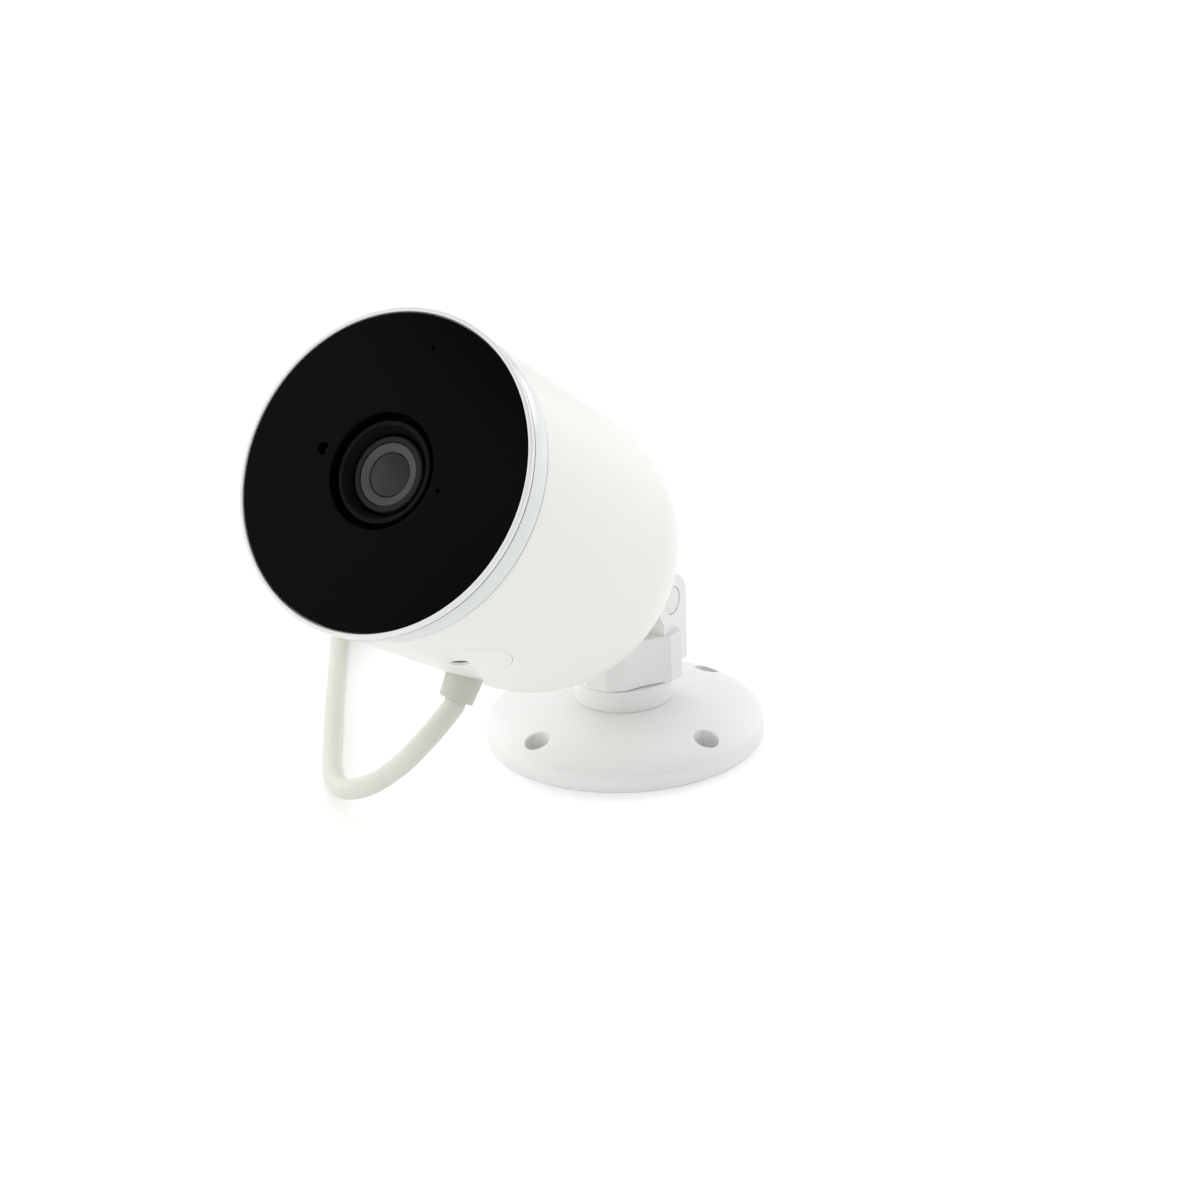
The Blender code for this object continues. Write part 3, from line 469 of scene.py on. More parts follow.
RUN_ANGLE = radians(31.4)
ONWARD = Vector((-sin(RUN_ANGLE), cos(RUN_ANGLE), 0.0))
ASIDE = Vector((cos(RUN_ANGLE), sin(RUN_ANGLE), 0.0))
COIL_LOW, COIL_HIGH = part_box("cord_coil")
COIL_CENTRE = Vector(((COIL_LOW.x + COIL_HIGH.x) / 2, (COIL_LOW.y + COIL_HIGH.y) / 2, 0.0))
OUTER_TURN = (COIL_HIGH.x - COIL_LOW.x) / 2 - CORD_RADIUS
FLOOR_LIFT = CORD_RADIUS + 0.0001
LEAD_ROUTE = (
    (-0.0044, -0.0775, 0.0317), (-0.0076, -0.0781, 0.0280),
    (-0.0118, -0.0774, 0.0235), (-0.0179, -0.0759, 0.0180), (-0.0251, -0.0743, 0.0125),
    (-0.0339, -0.0711, 0.0075), (-0.0429, -0.0649, 0.0038), (-0.0519, -0.0551, 0.0027),
    (-0.0625, -0.0406, 0.0026), (-0.0753, -0.0226, 0.0026), (-0.0896, -0.0020, 0.0026),
    (-0.1029, 0.0168, 0.0026),
)


def smooth_route(points, step):
    """Evenly spaced points on the smooth curve that runs through a route's points."""
    parts = 12
    path = [Vector(point) for point in points]
    ends = [path[0] * 2 - path[1]] + path + [path[-1] * 2 - path[-2]]
    dense = []
    for a, b, c, d in zip(ends, ends[1:], ends[2:], ends[3:]):
        for i in range(parts):
            t = i / parts
            dense.append(0.5 * ((2 * b) + (c - a) * t + (2 * a - 5 * b + 4 * c - d) * t ** 2
                                + (3 * b - a - 3 * c + d) * t ** 3))
    dense.append(path[-1])
    lengths = [0.0]
    for a, b in zip(dense, dense[1:]):
        lengths.append(lengths[-1] + (b - a).length)
    count = max(2, round(lengths[-1] / step))
    marks, i = [], 0
    for k in range(count + 1):
        target = lengths[-1] * k / count
        while i < len(lengths) - 2 and lengths[i + 1] < target:
            i += 1
        reach = (target - lengths[i]) / (lengths[i + 1] - lengths[i])
        marks.append(dense[i].lerp(dense[i + 1], reach))
    return marks


def coil_moves():
    """Each change of slot in the coil: its start in degrees, and the (column, layer) reached.

    Column 0 is outermost and layer 0 is on the ground.  Each layer changes column in a
    sector of its own, 100 degrees before that of the layer below, with the step up to the
    layer between the two, so no turn meets another.
    """
    sector = 50
    moves = [(310, (1, 0)), (670, (2, 0)), (1030, (3, 0)), (1340, (3, 1)),
             (1650, (2, 1)), (2010, (1, 1)), (2320, (1, 2)), (2630, (2, 2)), (2990, (3, 2)),
             (3300, (3, 3)), (3610, (2, 3)), (3970, (1, 3)), (4330, (0, 3)), (4630, (0, 2)),
             (4990, (0, 1))]
    return sector, moves


def coil_points(step=15, last=5220):
    """Points along the coil, from where the lead meets it to where the tail leaves it."""
    sector, moves = coil_moves()
    points = []
    for angle in range(0, last + 1, step):
        column, layer = 0.0, 0.0
        slot = (0, 0)
        for start, target in moves:
            if angle >= start + sector:
                column, layer, slot = *target, target
            elif angle > start:
                t = (angle - start) / sector
                ease = t * t * (3 - 2 * t)
                column = slot[0] + (target[0] - slot[0]) * ease
                layer = slot[1] + (target[1] - slot[1]) * ease
        radius = OUTER_TURN - column * CORD_DIAMETER
        a = radians(angle)
        points.append(COIL_CENTRE + (ONWARD * sin(a) - ASIDE * cos(a)) * radius
                      + Vector((0, 0, FLOOR_LIFT + layer * CORD_DIAMETER)))
    return points


def swept(path, radius, sides=16):
    """A closed round tube along a path, with flat ends."""
    shape = bmesh.new()
    rings = []
    side = None
    for i, spot in enumerate(path):
        ahead = (path[min(i + 1, len(path) - 1)] - path[max(i - 1, 0)]).normalized()
        side = ahead.orthogonal() if side is None else side - ahead * side.dot(ahead)
        side.normalize()
        over = ahead.cross(side)
        rings.append([shape.verts.new(spot + (side * cos(2 * pi * k / sides)
                                              + over * sin(2 * pi * k / sides)) * radius)
                      for k in range(sides)])
    for low, high in zip(rings, rings[1:]):
        for k in range(sides):
            n = (k + 1) % sides
            shape.faces.new((low[k], low[n], high[n], high[k]))
    shape.faces.new(rings[0])
    shape.faces.new(rings[-1])
    return mesh_of(shape, sharp=60)


def make_cord():
    """The supply cord: down from the gland, along the ground, round the coil and to its plug."""
    start = HEAD @ (GLAND_FOOT + GLAND_LINE * CORD_START)
    lift = Vector((0, 0, FLOOR_LIFT))
    lead_end = COIL_CENTRE - ASIDE * OUTER_TURN - ONWARD * 0.0205 + lift
    turns = coil_points()
    leaving = turns[-1]
    tail_end = (COIL_CENTRE + ASIDE * OUTER_TURN - ONWARD * 0.034
                + Vector((0, 0, FLOOR_LIFT + 0.0013)))
    tail = [leaving - ONWARD * 0.009 + ASIDE * 0.0004 - Vector((0, 0, 0.0002)),
            leaving - ONWARD * 0.0165 + ASIDE * 0.0010 - Vector((0, 0, 0.0018)),
            tail_end + ONWARD * 0.0100 + ASIDE * 0.0006 - Vector((0, 0, 0.0009)), tail_end]
    halfway = lead_end + ONWARD * 0.0110
    route = [start, *LEAD_ROUTE, lead_end, halfway, *turns, *tail]
    path = smooth_route(route, 0.0028)
    inlet = HEAD @ (GLAND_FOOT + GLAND_LINE * (GLAND_END - 0.0004))
    cord = put("supply_cord", swept([inlet] + path, CORD_RADIUS), "cord", "cord_jacket", None,
               "cord_lead", "cord_coil", "cord_tail")
    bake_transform(cord)
    return cord, start, path


def make_plug():
    """The moulded plug with its ribbed neck, metal shell, tongue and contacts."""
    grip_low, grip_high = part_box("plug_grip")
    turn = Matrix.Rotation(RUN_ANGLE, 4, "Z")
    here = Matrix.Translation((grip_low + grip_high) / 2) @ turn
    length, width, height, neck = 0.020, 0.0155, 0.0076, 0.0062
    body = combined(block((width, length - neck, height),
                          here @ Matrix.Translation((0, -neck / 2, 0))),
                    bevel=0.0019, segments=5)
    rib_pitch, rib_width, rib_depth, taper = 0.0014, 0.0008, 0.0006, 0.00022
    ribs = [(0, -0.001, 0), (0.0037, -0.001, 0)]
    for rib in range(4):
        low = 0.0004 + rib * rib_pitch
        radius = 0.0036 - rib * taper
        ribs += [(radius, low, 0.0002), (radius, low + rib_width, 0.0002),
                 (radius - rib_depth, low + rib_width + 0.0001, 0.0001),
                 (radius - rib_depth, low + rib_pitch - 0.0001, 0.0001)]
    ribs += [(0.0027, neck - 0.0001, 0.0002), (0, neck - 0.0001, 0)]
    collar = turned(ribs, here @ Matrix.Translation((0, length / 2 - neck, 0))
                    @ Matrix.Rotation(-pi / 2, 4, "X"), SMALL_ROUND)
    steps = [("UNION", collar)]
    groove_size, groove_pitch = (0.0007, 0.0007, 0.0052), 0.0016
    for side in (-1, 1):
        for groove in range(5):
            spot = (side * width / 2, -0.0062 + groove * groove_pitch, 0)
            steps.append(("DIFFERENCE", block(groove_size, here @ Matrix.Translation(spot))))
    grip = put("plug_body", combined(body, *steps), "cord", "cord_jacket", "yoke", "plug_grip")
    shell_low, shell_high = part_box("plug_contact")
    mouth = Matrix.Translation((shell_low + shell_high) / 2) @ turn
    shell_width, shell_height, wall = 0.012, 0.0045, 0.0003
    outer = combined(block((shell_width, shell_width, shell_height), mouth), bevel=0.0005,
                     segments=4)
    hollow = block((shell_width - 2 * wall, shell_width + 0.0005, shell_height - 2 * wall),
                   mouth @ Matrix.Translation((0, -0.0007, 0)))
    cuts = [("DIFFERENCE", hollow)]
    for side in (-1, 1):
        spot = Matrix.Translation((side * 0.0028, -0.0008, 0.002))
        cuts.append(("DIFFERENCE", block((0.0023, 0.0023, 0.003), mouth @ spot)))
    shell = put("plug_shell", combined(outer, *cuts), "steel", "steel", "yoke", "plug_contact")
    slab = block((0.0110, 0.0110, 0.0018), mouth @ Matrix.Translation((0, 0.0002, -0.0009)))
    tongue = put("plug_tongue", combined(slab, bevel=0.0002, segments=2), "black",
                 "black_plastic", "yoke")
    strips = bmesh.new()
    strip_size, strip_pitch = (0.0011, 0.0084, 0.00016), 0.0024
    for strip in (-1.5, -0.5, 0.5, 1.5):
        spot = mouth @ Matrix.Translation((strip * strip_pitch, -0.0006, 0.00004))
        pad = combined(block(strip_size, spot), bevel=0.00006, segments=2)
        strips.from_mesh(pad)
        bpy.data.meshes.remove(pad)
    contacts = put("plug_contacts", mesh_of(strips), "brass", "brass", "yoke")
    return [grip, shell, tongue, contacts]


def make_tie():
    """A soft strap wound closely round the coil's turns."""
    turn = radians(6)
    out = ONWARD * sin(turn) - ASIDE * cos(turn)
    half = 1.5 * CORD_DIAMETER
    middle = OUTER_TURN - half
    lift = FLOOR_LIFT + half
    thick, width = 0.0007, 0.0080
    hug = CORD_RADIUS + 0.0001
    loop = []
    for side, level, start in ((1, -1, -90), (1, 1, 0), (-1, 1, 90), (-1, -1, 180)):
        for step in range(9):
            angle = radians(start + 90 * step / 8)
            loop.append((side * half + hug * cos(angle), level * half + hug * sin(angle),
                         cos(angle), sin(angle)))
    shape = bmesh.new()
    rings = []
    for x, z, nx, nz in loop:
        ring = []
        for reach, across in ((0, -0.5), (thick * 0.5, -0.53), (thick, -0.5), (thick, 0.5),
                              (thick * 0.5, 0.53), (0, 0.5)):
            spot = COIL_CENTRE + out * (middle + x + nx * reach)
            ground = 0.00005 + (thick - reach) * max(0.0, -nz)
            spot += Vector((0, 0, max(lift + z + nz * reach, ground)))
            ring.append(shape.verts.new(spot + out.cross(Vector((0, 0, 1))) * width * across))
        rings.append(ring)
    for low, high in zip(rings, rings[1:] + rings[:1]):
        for i in range(6):
            n = (i + 1) % 6
            shape.faces.new((low[i], low[n], high[n], high[i]))
    return put("cord_tie", mesh_of(shape), "rubber", "seal_rubber", "yoke")


def declare_cord():
    """The cord with what is on it."""
    cord, start, path = make_cord()
    pieces = make_plug() + [make_tie()]


# ---------------------------------------------------------------- bracket


def dome_height(radius):
    """Height of the base's elliptical dome at a radius from the pan axis."""
    return DOME_FOOT + DOME_RISE * sqrt(1 - (radius / DOME_REACH) ** 2)


def make_base():
    """The domed base with a rolled rim and four softly edged screw holes."""
    rim, rings, lip = BASE_RADIUS - 0.0004, 30, 0.0005
    pad_reach, pad_depth, well_reach, well_top = 0.0253, 0.0010, 0.0068, 0.0062
    radii = [rim * sin(pi / 2 * (i / rings) ** 0.75) for i in range(rings + 1)]
    radii = [BOSS_RADIUS] + [radius for radius in radii if radius > BOSS_RADIUS][1:]
    outline = [(BOLT_HOLE, BOSS_TOP, 0), (BOSS_RADIUS, BOSS_TOP, 0.0002)]
    outline += [(radius, dome_height(radius), 0) for radius in radii]
    outline += [(BASE_RADIUS, dome_height(rim) - 0.0006, 0.0003),
                (BASE_RADIUS, BASE_BOTTOM, 0.0005), (pad_reach, BASE_BOTTOM, 0.0002),
                (pad_reach, pad_depth, 0), (well_reach, pad_depth, 0),
                (well_reach, well_top, 0), (BOLT_HOLE, well_top, 0)]
    cuts = []
    for corner in range(4):
        angle = SCREW_HOLE_ANGLE + corner * pi / 2
        slope = (dome_height(SCREW_CIRCLE - 0.0005) - dome_height(SCREW_CIRCLE + 0.0005)) / 0.001
        normal = Vector((slope * cos(angle), slope * sin(angle), 1.0)).normalized()
        spot = Vector((SCREW_CIRCLE * cos(angle), SCREW_CIRCLE * sin(angle), 0))
        cuts.append(("DIFFERENCE", drum(SCREW_HOLE_RADIUS, -0.002, 0.02,
                                        Matrix.Translation(spot))))
        top = spot + Vector((0, 0, dome_height(SCREW_CIRCLE)))
        flare = [(0, -lip, 0), (SCREW_HOLE_RADIUS - 0.0001, -lip, 0)]
        flare += [(SCREW_HOLE_RADIUS + lip * (1 - cos(radians(a))), -lip * (1 - sin(radians(a))), 0)
                  for a in (15, 35, 55, 75, 90)]
        flare += [(SCREW_HOLE_RADIUS + lip + 0.0001, 0.003, 0), (0, 0.003, 0)]
        cuts.append(("DIFFERENCE", turned(flare, along(normal, top), SMALL_ROUND)))
    put("base_dome", combined(turned(outline, steps=192), *cuts), "bracket", "bracket_white",
        "base", "base_plate")


def make_collar():
    """The swivel collar, which sits close on the base's dome."""
    bore = BOSS_RADIUS + GAP
    foot = dome_height(COLLAR_RADIUS) + 0.00004
    outline = [(bore, COLLAR_BOTTOM + 0.0006, 0), (bore, COLLAR_TOP, 0),
               (COLLAR_RADIUS, COLLAR_TOP, 0.0004), (COLLAR_RADIUS, foot, 0.00015),
               (COLLAR_RADIUS - 0.0010, foot + 0.0003, 0)]
    put("collar_ring", turned(outline), "bracket", "bracket_white", "yoke", "swivel_collar")


def make_yoke():
    """The yoke's block and its two ears, bored for the bolt, its nut and the pan nut."""
    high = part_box("yoke")[1]
    bottom, top, ear_bottom = COLLAR_TOP + GAP, 0.029, 0.0192
    ear_outer, ear_inner = 0.013, 0.0082
    ear_radius = high.z - HINGE.z
    # Half of the block's plan: a facet in front, a hollow flank and a chamfered rear corner.
    half = [(0.0029, -0.0132), (0.0061, -0.0112)]
    half += arc((0.0402, -0.0266), 0.0370, 154, 134.5, 16)
    half += [(high.x, 0.0037), (0.0122, 0.0060)]
    plan = half + [(-x, y) for x, y in reversed(half)]
    body = prism(plan, top - bottom, Matrix.Translation((0, 0, (top + bottom) / 2)))
    back, ear_front = HINGE.y + ear_radius, -0.0012
    side_view = [(ear_front, top - 0.001)]
    side_view += arc((HINGE.y, HINGE.z), ear_radius, 226, 0, 52)
    side_view += [(back, ear_bottom), (0.0030, ear_bottom)]
    upright = Matrix.Rotation(pi / 2, 4, "Z") @ Matrix.Rotation(pi / 2, 4, "X")
    across = along((1, 0, 0), HINGE)
    ears = []
    for side in (1, -1):
        middle = Matrix.Translation((side * (ear_inner + ear_outer) / 2, 0, 0))
        ears.append(("UNION", prism(side_view, ear_outer - ear_inner, middle @ upright)))
    eye_room = drum(EYE_RADIUS + 0.0009, -ear_inner, ear_inner, across, 96)
    shape = combined(body, *ears, ("DIFFERENCE", eye_room), bevel=0.00035, segments=5, sharp=24)
    # The seats of the bolt's head, its nut and the pan nut: radius, and where each begins.
    bolt_seat, nut_seat, pan_nut_seat = (0.00364, 0.0112), (0.0044, -0.0104), (0.0042, 0.0221)
    # Past the piece, so that a cutter ends outside it.
    aside, above = 0.02, 0.04
    steps = [("UNION", drum(BOSS_RADIUS - GAP, 0.0154, 0.018)),
             ("DIFFERENCE", drum(BOLT_HOLE, -aside, aside, across)),
             ("DIFFERENCE", drum(*bolt_seat, aside, across)),
             ("DIFFERENCE", hexagon(nut_seat[0], -aside, nut_seat[1], across)),
             ("DIFFERENCE", drum(BOLT_HOLE, 0.0, above)),
             ("DIFFERENCE", hexagon(*pan_nut_seat, above))]
    put("yoke_bracket", combined(shape, *steps, sharp=9), "bracket", "bracket_white", "yoke",
        "yoke")


def cross_recess(size, depth, base):
    """Two crossed wedges that cut a screw's driver recess."""
    arm = size * 0.24
    wedges = []
    for turn in (0, pi / 2):
        outline = [(-size, 0.0003), (size, 0.0003), (size * 0.55, -depth), (-size * 0.55, -depth)]
        wedges.append(("DIFFERENCE", prism(outline, arm, base @ Matrix.Rotation(turn, 4, "Z")
                                           @ Matrix.Rotation(pi / 2, 4, "X"))))
    return wedges


def make_fasteners():
    """The hinge bolt and nut and the hatch screw."""
    across = along((1, 0, 0), HINGE)
    head_top = span("tilt_bolt", across)[1].z
    head_foot, bolt_end = head_top - 0.0014, -0.0127
    head, shank = 0.0036, 0.0020
    bolt = turned([(0, head_top, 0), (head, head_top, 0.0005), (head, head_foot, 0.0001),
                   (shank, head_foot, 0), (shank, bolt_end, 0.0003), (0, bolt_end, 0)],
                  across, 96)
    put("hinge_bolt", bolt, "coated", "steel", "yoke", "tilt_bolt")
    nut = combined(hexagon(0.0040, bolt_end, -0.0107, across), bevel=0.00025)
    put("hinge_nut", combined(nut, ("DIFFERENCE", drum(BOLT_HOLE, -0.02, 0.0, across))),
        "brass", "brass", "yoke", "tilt_nut")
    stand = HEAD @ along(HATCH_AWAY, (0, 0, HATCH_FRONT_CENTRE))
    top = span("hatch_screw", stand)[1].z
    tip, shoulder, head, shank = 0.0225, 0.0302, 0.0017, 0.0011
    screw = turned([(0, tip, 0), (shank - 0.0002, tip, 0), (shank, tip + 0.0007, 0.0002),
                    (shank, shoulder, 0), (head, shoulder, 0.0001),
                    (head, top - 0.0002, 0.0002), (0.0012, top, 0.0002), (0, top, 0)],
                   stand, SMALL_ROUND)
    recess = cross_recess(0.0010, 0.0008, stand @ Matrix.Translation((0, 0, top)))
    put("hatch_fastener", combined(screw, *recess), "screw", "steel", "head", "hatch_screw")


# ---------------------------------------------------------------- head casing


def shell_radius(distance):
    """Outer radius of the casing's sleeve at a distance behind the front face."""
    share = (distance - SHELL_FRONT) / (SHELL_DOME_START - SHELL_FRONT)
    return SHELL_FRONT_RADIUS + (SHELL_RADIUS - SHELL_FRONT_RADIUS) * share


def hatch_prism(half_width):
    """A cutter of the hatch's rounded outline, through the casing's underside."""
    low, high = CUT_LOW, CUT_HIGH
    outline = arc((0.0, HATCH_FRONT_CENTRE), half_width, 180, 360, 32)
    outline += arc((0.0, HATCH_REAR_CENTRE), half_width, 0, 180, 32)
    middle = Matrix.Translation(HATCH_AWAY * (low + high) / 2)
    turn = Matrix.Rotation(-HATCH_ANGLE, 4, "Z") @ Matrix.Rotation(pi / 2, 4, "X")
    return prism(outline, high - low, HEAD @ middle @ turn)


def make_shell():
    """The white casing: a sleeve closed behind by a deep dome."""
    deep = SHELL_LENGTH - SHELL_DOME_START
    sleeve, dome = 30, 28
    outline = [(SHELL_RADIUS - SHELL_WALL, SHELL_FRONT, 0),
               (SHELL_FRONT_RADIUS, SHELL_FRONT, 0.0005)]
    for i in range(1, sleeve):
        distance = SHELL_FRONT + (SHELL_DOME_START - SHELL_FRONT) * i / sleeve
        outline.append((shell_radius(distance), distance, 0))
    inner = []
    for i in range(dome + 1):
        turn = pi / 2 * i / dome
        outline.append((SHELL_RADIUS * cos(turn) * (i < dome),
                        SHELL_DOME_START + deep * sin(turn), 0))
        inner.append(((SHELL_RADIUS - SHELL_WALL) * cos(turn) * (i < dome),
                      SHELL_DOME_START + (deep - SHELL_WALL) * sin(turn), 0))
    outline += list(reversed(inner))
    down = HEAD @ along(GLAND_LINE, GLAND_FOOT)
    cuts = [("DIFFERENCE", hatch_prism(HATCH_HALF_WIDTH - GAP * 0.7)),
            ("DIFFERENCE", drum(GLAND_NECK + GAP, CUT_LOW, CUT_HIGH, down)),
            ("DIFFERENCE", drum(0.0022, 0.085, 0.105, HEAD))]
    put("casing_shell", combined(turned(outline, HEAD, LARGE_ROUND), *cuts), "casing", "casing_white",
        "head", "body_shell")


def make_hatch():
    """The hatch cover, a curved patch with its screw hole, and a dark sleeve of painted shade inside
    the hole.
    """
    inner, front, rear, rows = SHELL_RADIUS - 0.0016, 0.018, 0.050, 28
    outline = [(inner, front, 0), (inner, rear, 0)]
    for i in range(rows + 1):
        distance = rear - (rear - front) * i / rows
        outline.append((shell_radius(distance), distance, 0))
    stand = HEAD @ along(HATCH_AWAY, (0, 0, HATCH_FRONT_CENTRE))
    mouth, mouth_start = HATCH_SCREW_HOLE + 0.0002, 0.0343
    flare = turned([(0, CUT_LOW, 0), (HATCH_SCREW_HOLE, CUT_LOW, 0),
                    (HATCH_SCREW_HOLE, mouth_start, 0), (mouth, mouth_start + 0.0003, 0),
                    (mouth, CUT_HIGH, 0), (0, CUT_HIGH, 0)], stand, SMALL_ROUND)
    patch = combined(turned(outline, HEAD, 256),
                     ("INTERSECT", hatch_prism(HATCH_HALF_WIDTH - GAP)),
                     ("DIFFERENCE", flare))
    put("hatch_panel", patch, "casing", "casing_white", "head", "hatch_cover")
    # A thin dark sleeve on the screw hole's wall: painted shade that darkens the hole.
    bore, outside, edge = HATCH_SCREW_HOLE - 0.00025, HATCH_SCREW_HOLE - 0.00002, 0.0001
    painted_shade_sleeve = [(bore, inner + 0.0002, edge), (bore, mouth_start, edge),
              (outside, mouth_start, edge), (outside, inner + 0.0002, edge)]
    put("screw_well", turned(painted_shade_sleeve, stand, SMALL_ROUND), "shade", "seal_rubber", "head")


def make_front():
    """The white rim, the pearl band between its seams, and the window with its small holes."""
    bore, step = WINDOW_RADIUS + GAP, BAND_FRONT - 0.0004
    seat, spigot_outer, spigot_inner, ledge = BAND_RADIUS - 0.0010, 0.0320, 0.0303, 0.0034
    rim = [(bore, BEZEL_FRONT, 0.00025), (BEZEL_RADIUS, BEZEL_FRONT, 0.0006),
           (BEZEL_RADIUS, step, 0.0002), (seat, step, 0), (seat, BAND_REAR, 0),
           (spigot_outer, BAND_REAR, 0), (spigot_outer, BEZEL_BACK, 0),
           (spigot_inner, BEZEL_BACK, 0), (spigot_inner, ledge, 0), (bore, ledge, 0)]
    put("front_rim", turned(rim, HEAD, LARGE_ROUND), "rim", "casing_white", "head", "front_bezel")
    inside = BAND_RADIUS - 0.0007
    band = [(inside, BAND_FRONT, 0), (BAND_RADIUS, BAND_FRONT, 0.0003),
            (BAND_RADIUS, BAND_REAR, 0.0003), (inside, BAND_REAR, 0)]
    put("pearl_band", turned(band, HEAD, LARGE_ROUND), "band", "band_silver", "head", "trim_band")
    # Dark rings at the bottom of the two seam grooves: painted shade in the grooves, darker at the
    # front seam than at the rear one.
    seams = (("front_seam", "seam", step, BAND_FRONT, BAND_RADIUS + 0.0001),
             ("rear_seam", "shade", BAND_REAR, SHELL_FRONT, SHELL_FRONT_RADIUS + 0.0002))
    groove, slack = BAND_RADIUS - 0.00095, 0.00003
    for name, look, low, high, radius in seams:
        seam = [(groove, low + slack, 0), (groove, high - slack, 0),
                (radius, high - slack, 0), (radius, low + slack, 0)]
        put(name, turned(seam, HEAD, LARGE_ROUND), look, "seal_rubber", "head")
    pane = [(LENS_OPENING, WINDOW_FRONT, 0.00025), (LENS_OPENING, WINDOW_BACK, 0),
            (WINDOW_RADIUS, WINDOW_BACK, 0), (WINDOW_RADIUS, WINDOW_FRONT, 0.0002)]
    rings = 16
    for ring in range(rings + 1):
        reach = (WINDOW_RADIUS - LENS_OPENING - 0.0007) * ring / rings
        pane.append((WINDOW_RADIUS - 0.0003 - reach, WINDOW_FRONT, 0))
    cuts = []
    chamfer, before, behind = 0.0001, -0.002, 0.004
    for x, y, radius in PANE_HOLES:
        spot = HEAD @ Matrix.Translation((x, y, 0))
        cuts.append(("DIFFERENCE", turned(
            [(0, before, 0), (radius + chamfer, before, 0), (radius + chamfer, WINDOW_FRONT, 0),
             (radius, WINDOW_FRONT + chamfer, 0), (radius, behind, 0), (0, behind, 0)],
            spot, 40)))
    put("window_pane", combined(turned(pane, HEAD, LARGE_ROUND), *cuts), "window", "window_black",
        "head", "front_window")


# ---------------------------------------------------------------- lens


def make_lens():
    """The stepped lens shroud, the barrel, its retaining ring and the domed front glass."""
    # Outlines of (radius, distance behind the front face, rounding).
    shroud = [(0.0102, 0.0011, 0.0002), (0.0111, 0.0011, 0.0002), (0.0112, 0.0022, 0.0001),
              (0.0122, 0.0060, 0), (0.0140, 0.0060, 0.0002), (0.0140, 0.0070, 0.0001),
              (0.0090, 0.0070, 0), (0.0088, 0.0038, 0.0001)]
    put("shroud_ring", turned(shroud, HEAD), "shroud", "lens_plastic", "head", "lens_shroud")
    crest, root, pitch = 0.0083, 0.0081, 0.0005
    barrel = [(0.0070, 0.0029, 0.0001), (0.0080, 0.0028, 0.0002), (crest, 0.0031, 0.0002)]
    for thread in range(9):
        low = 0.0044 + thread * pitch
        barrel += [(crest, low, 0), (root, low + pitch * 0.3, 0), (crest, low + pitch * 0.6, 0)]
    barrel += [(crest, 0.0150, 0.0003), (0.0056, 0.0150, 0.0002), (0.0056, 0.0062, 0),
               (0.0070, 0.0062, 0)]
    put("barrel_tube", turned(barrel, HEAD), "barrel", "lens_plastic", "head", "lens_barrel")
    ring = [(0.0049, 0.0034, 0.0002), (0.0067, 0.0029, 0.0002), (0.0069, 0.0032, 0.0001),
            (0.0069, 0.0058, 0), (0.0049, 0.0058, 0)]
    notches = []
    for side in (0, pi):
        spot = HEAD @ Matrix.Rotation(side + 0.9, 4, "Z") @ Matrix.Translation((0.0068, 0, 0.0028))
        notches.append(("DIFFERENCE", block((0.0005, 0.0005, 0.0006), spot)))
    put("retaining_ring", combined(turned(ring, HEAD), *notches), "retainer", "lens_plastic",
        "head", "lens_retainer")
    count, reach = 14, 0.0047
    glass = [(reach * i / count, 0.0030 + 0.0006 * (i / count) ** 2, 0)
             for i in range(count + 1)]
    glass += [(reach, 0.0057, 0.0001), (0.0, 0.0050, 0)]
    put("front_element", turned(glass, HEAD), "glass", "lens_glass", "head", "lens_front_glass")


# ---------------------------------------------------------------- neck and gland


def make_neck():
    """The neck that flares on the casing's dome and ends in the hinge's eye."""
    start, skirt, foot, waist, rows = SHELL_LENGTH + GAP, 0.0115, 0.0110, 0.0066, 14
    flare = [(0, start - 0.0045, 0), (skirt, start - 0.0045, 0), (skirt, start - 0.0012, 0.0006)]
    for i in range(rows + 1):
        t = i / rows
        flare.append((foot - (foot - waist) * (1 - (1 - t) ** 2.6), start - 0.0004 + 0.0105 * t, 0))
    flare += [(waist, FACE_REACH, 0), (0, FACE_REACH, 0)]
    deep, wide, count = SHELL_LENGTH - SHELL_DOME_START + GAP, SHELL_RADIUS + GAP, 32
    seat = [(0.0, SHELL_DOME_START, 0)]
    seat += [(wide * cos(pi / 2 * i / count), SHELL_DOME_START + deep * sin(pi / 2 * i / count), 0)
             for i in range(count)]
    seat += [(0.0, SHELL_DOME_START + deep, 0)]
    across = along((1, 0, 0), HINGE)
    half = 0.0071
    eye = turned([(0, -half, 0), (EYE_RADIUS, -half, 0.0003), (EYE_RADIUS, half, 0.0003),
                  (0, half, 0)], across, 96)
    neck = combined(turned(flare, HEAD, 128), ("UNION", eye),
                    ("DIFFERENCE", turned(seat, HEAD, 128)),
                    ("DIFFERENCE", drum(0.0031, -0.02, 0.02, across)),
                    ("DIFFERENCE", drum(0.0019, 0.080, 0.1085, HEAD)))
    put("neck_post", neck, "casing", "casing_white", "head", "neck_arm")


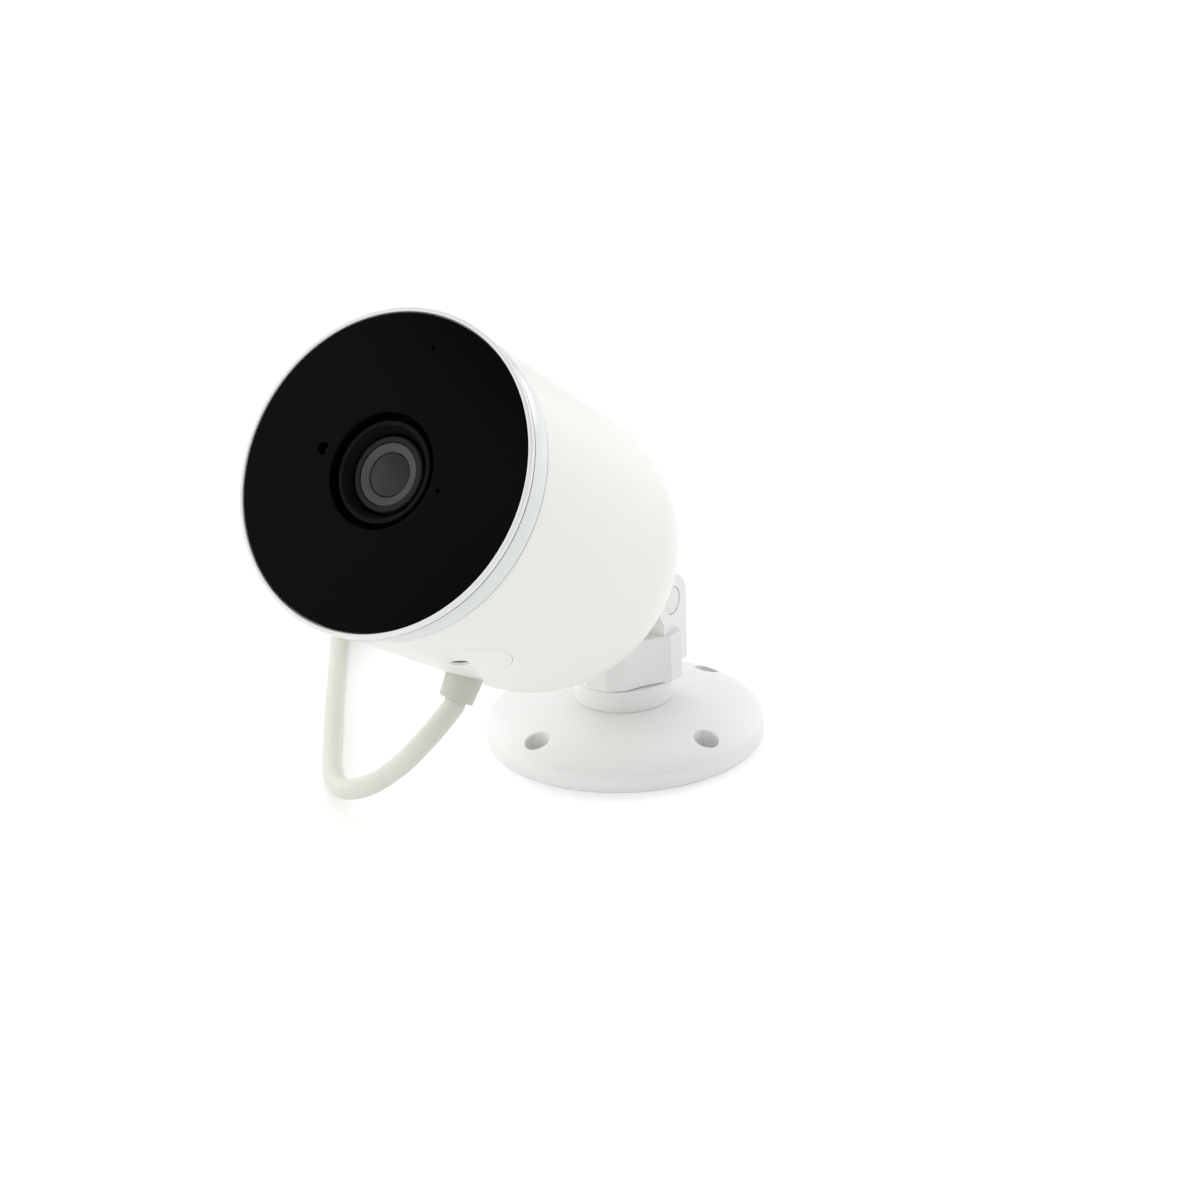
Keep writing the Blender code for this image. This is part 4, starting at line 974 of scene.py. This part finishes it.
def make_gland():
    """The cord's gland: a collar on the underside with a soft lip round the cord."""
    down = HEAD @ along(GLAND_LINE, GLAND_FOOT)
    lip, inside, seat = GLAND_RADIUS - 0.0003, 0.0270, GLAND_TOP - 0.0012
    mouth = GLAND_END - 0.0014
    outline = [(0, inside, 0), (GLAND_NECK, inside, 0), (GLAND_NECK, seat, 0),
               (GLAND_RADIUS, seat, 0), (GLAND_RADIUS, GLAND_TOP + 0.0012, 0.0001),
               (GLAND_RADIUS - 0.00012, GLAND_TOP + 0.0013, 0.0001),
               (lip, GLAND_END, 0.0006), (CORD_RADIUS + 0.0002, GLAND_END, 0.0001),
               (CORD_RADIUS + 0.0001, mouth, 0), (0, mouth, 0)]
    put("gland_collar", turned(outline, down, 96), "gland", "cord_jacket", "head", "cord_gland")


# ---------------------------------------------------------------- finishes of the CAD nodes

CAD_LOOKS = {
    "rubber": ("base_pad", "hatch_seal", "window_seal"),
    "steel": ("pan_bolt", "pan_washer", "neck_screw", "microphone", "radio_module",
              "board_screw_1", "board_screw_2", "card_slot"),
    "brass": ("pan_nut", "hinge_bush", "antenna"),
    "black": ("swivel_washer", "friction_washer_left", "friction_washer_right", "lens_holder",
              "chassis"),
    "glass": ("lens_rear_glass",),
    "filter": ("ir_cut_filter",),
    "lamp": ("infrared_lamp_1", "infrared_lamp_2", "infrared_lamp_3", "infrared_lamp_4"),
    "chip": ("image_sensor", "light_sensor", "processor", "reset_switch"),
    "board": ("sensor_board", "main_board", "power_board", "service_board"),
    "black_board": ("lamp_board",),
    "barrel": ("reset_button",),
    "cord": ("gland_nut", "inner_lead"),
}


def dress_nodes():
    """Give each CAD node that stays its procedural finish."""
    for look, names in CAD_LOOKS.items():
        for name in names:
            for slot in NODES[name].material_slots:
                slot.material = FINISHES[look]


make_camera()
make_floor()
make_lights()
declare_cord()
make_base()
make_collar()
make_yoke()
make_fasteners()
make_shell()
make_hatch()
make_front()
make_lens()
make_neck()
make_gland()
dress_nodes()
bpy.context.scene.view_settings.view_transform = "Standard"
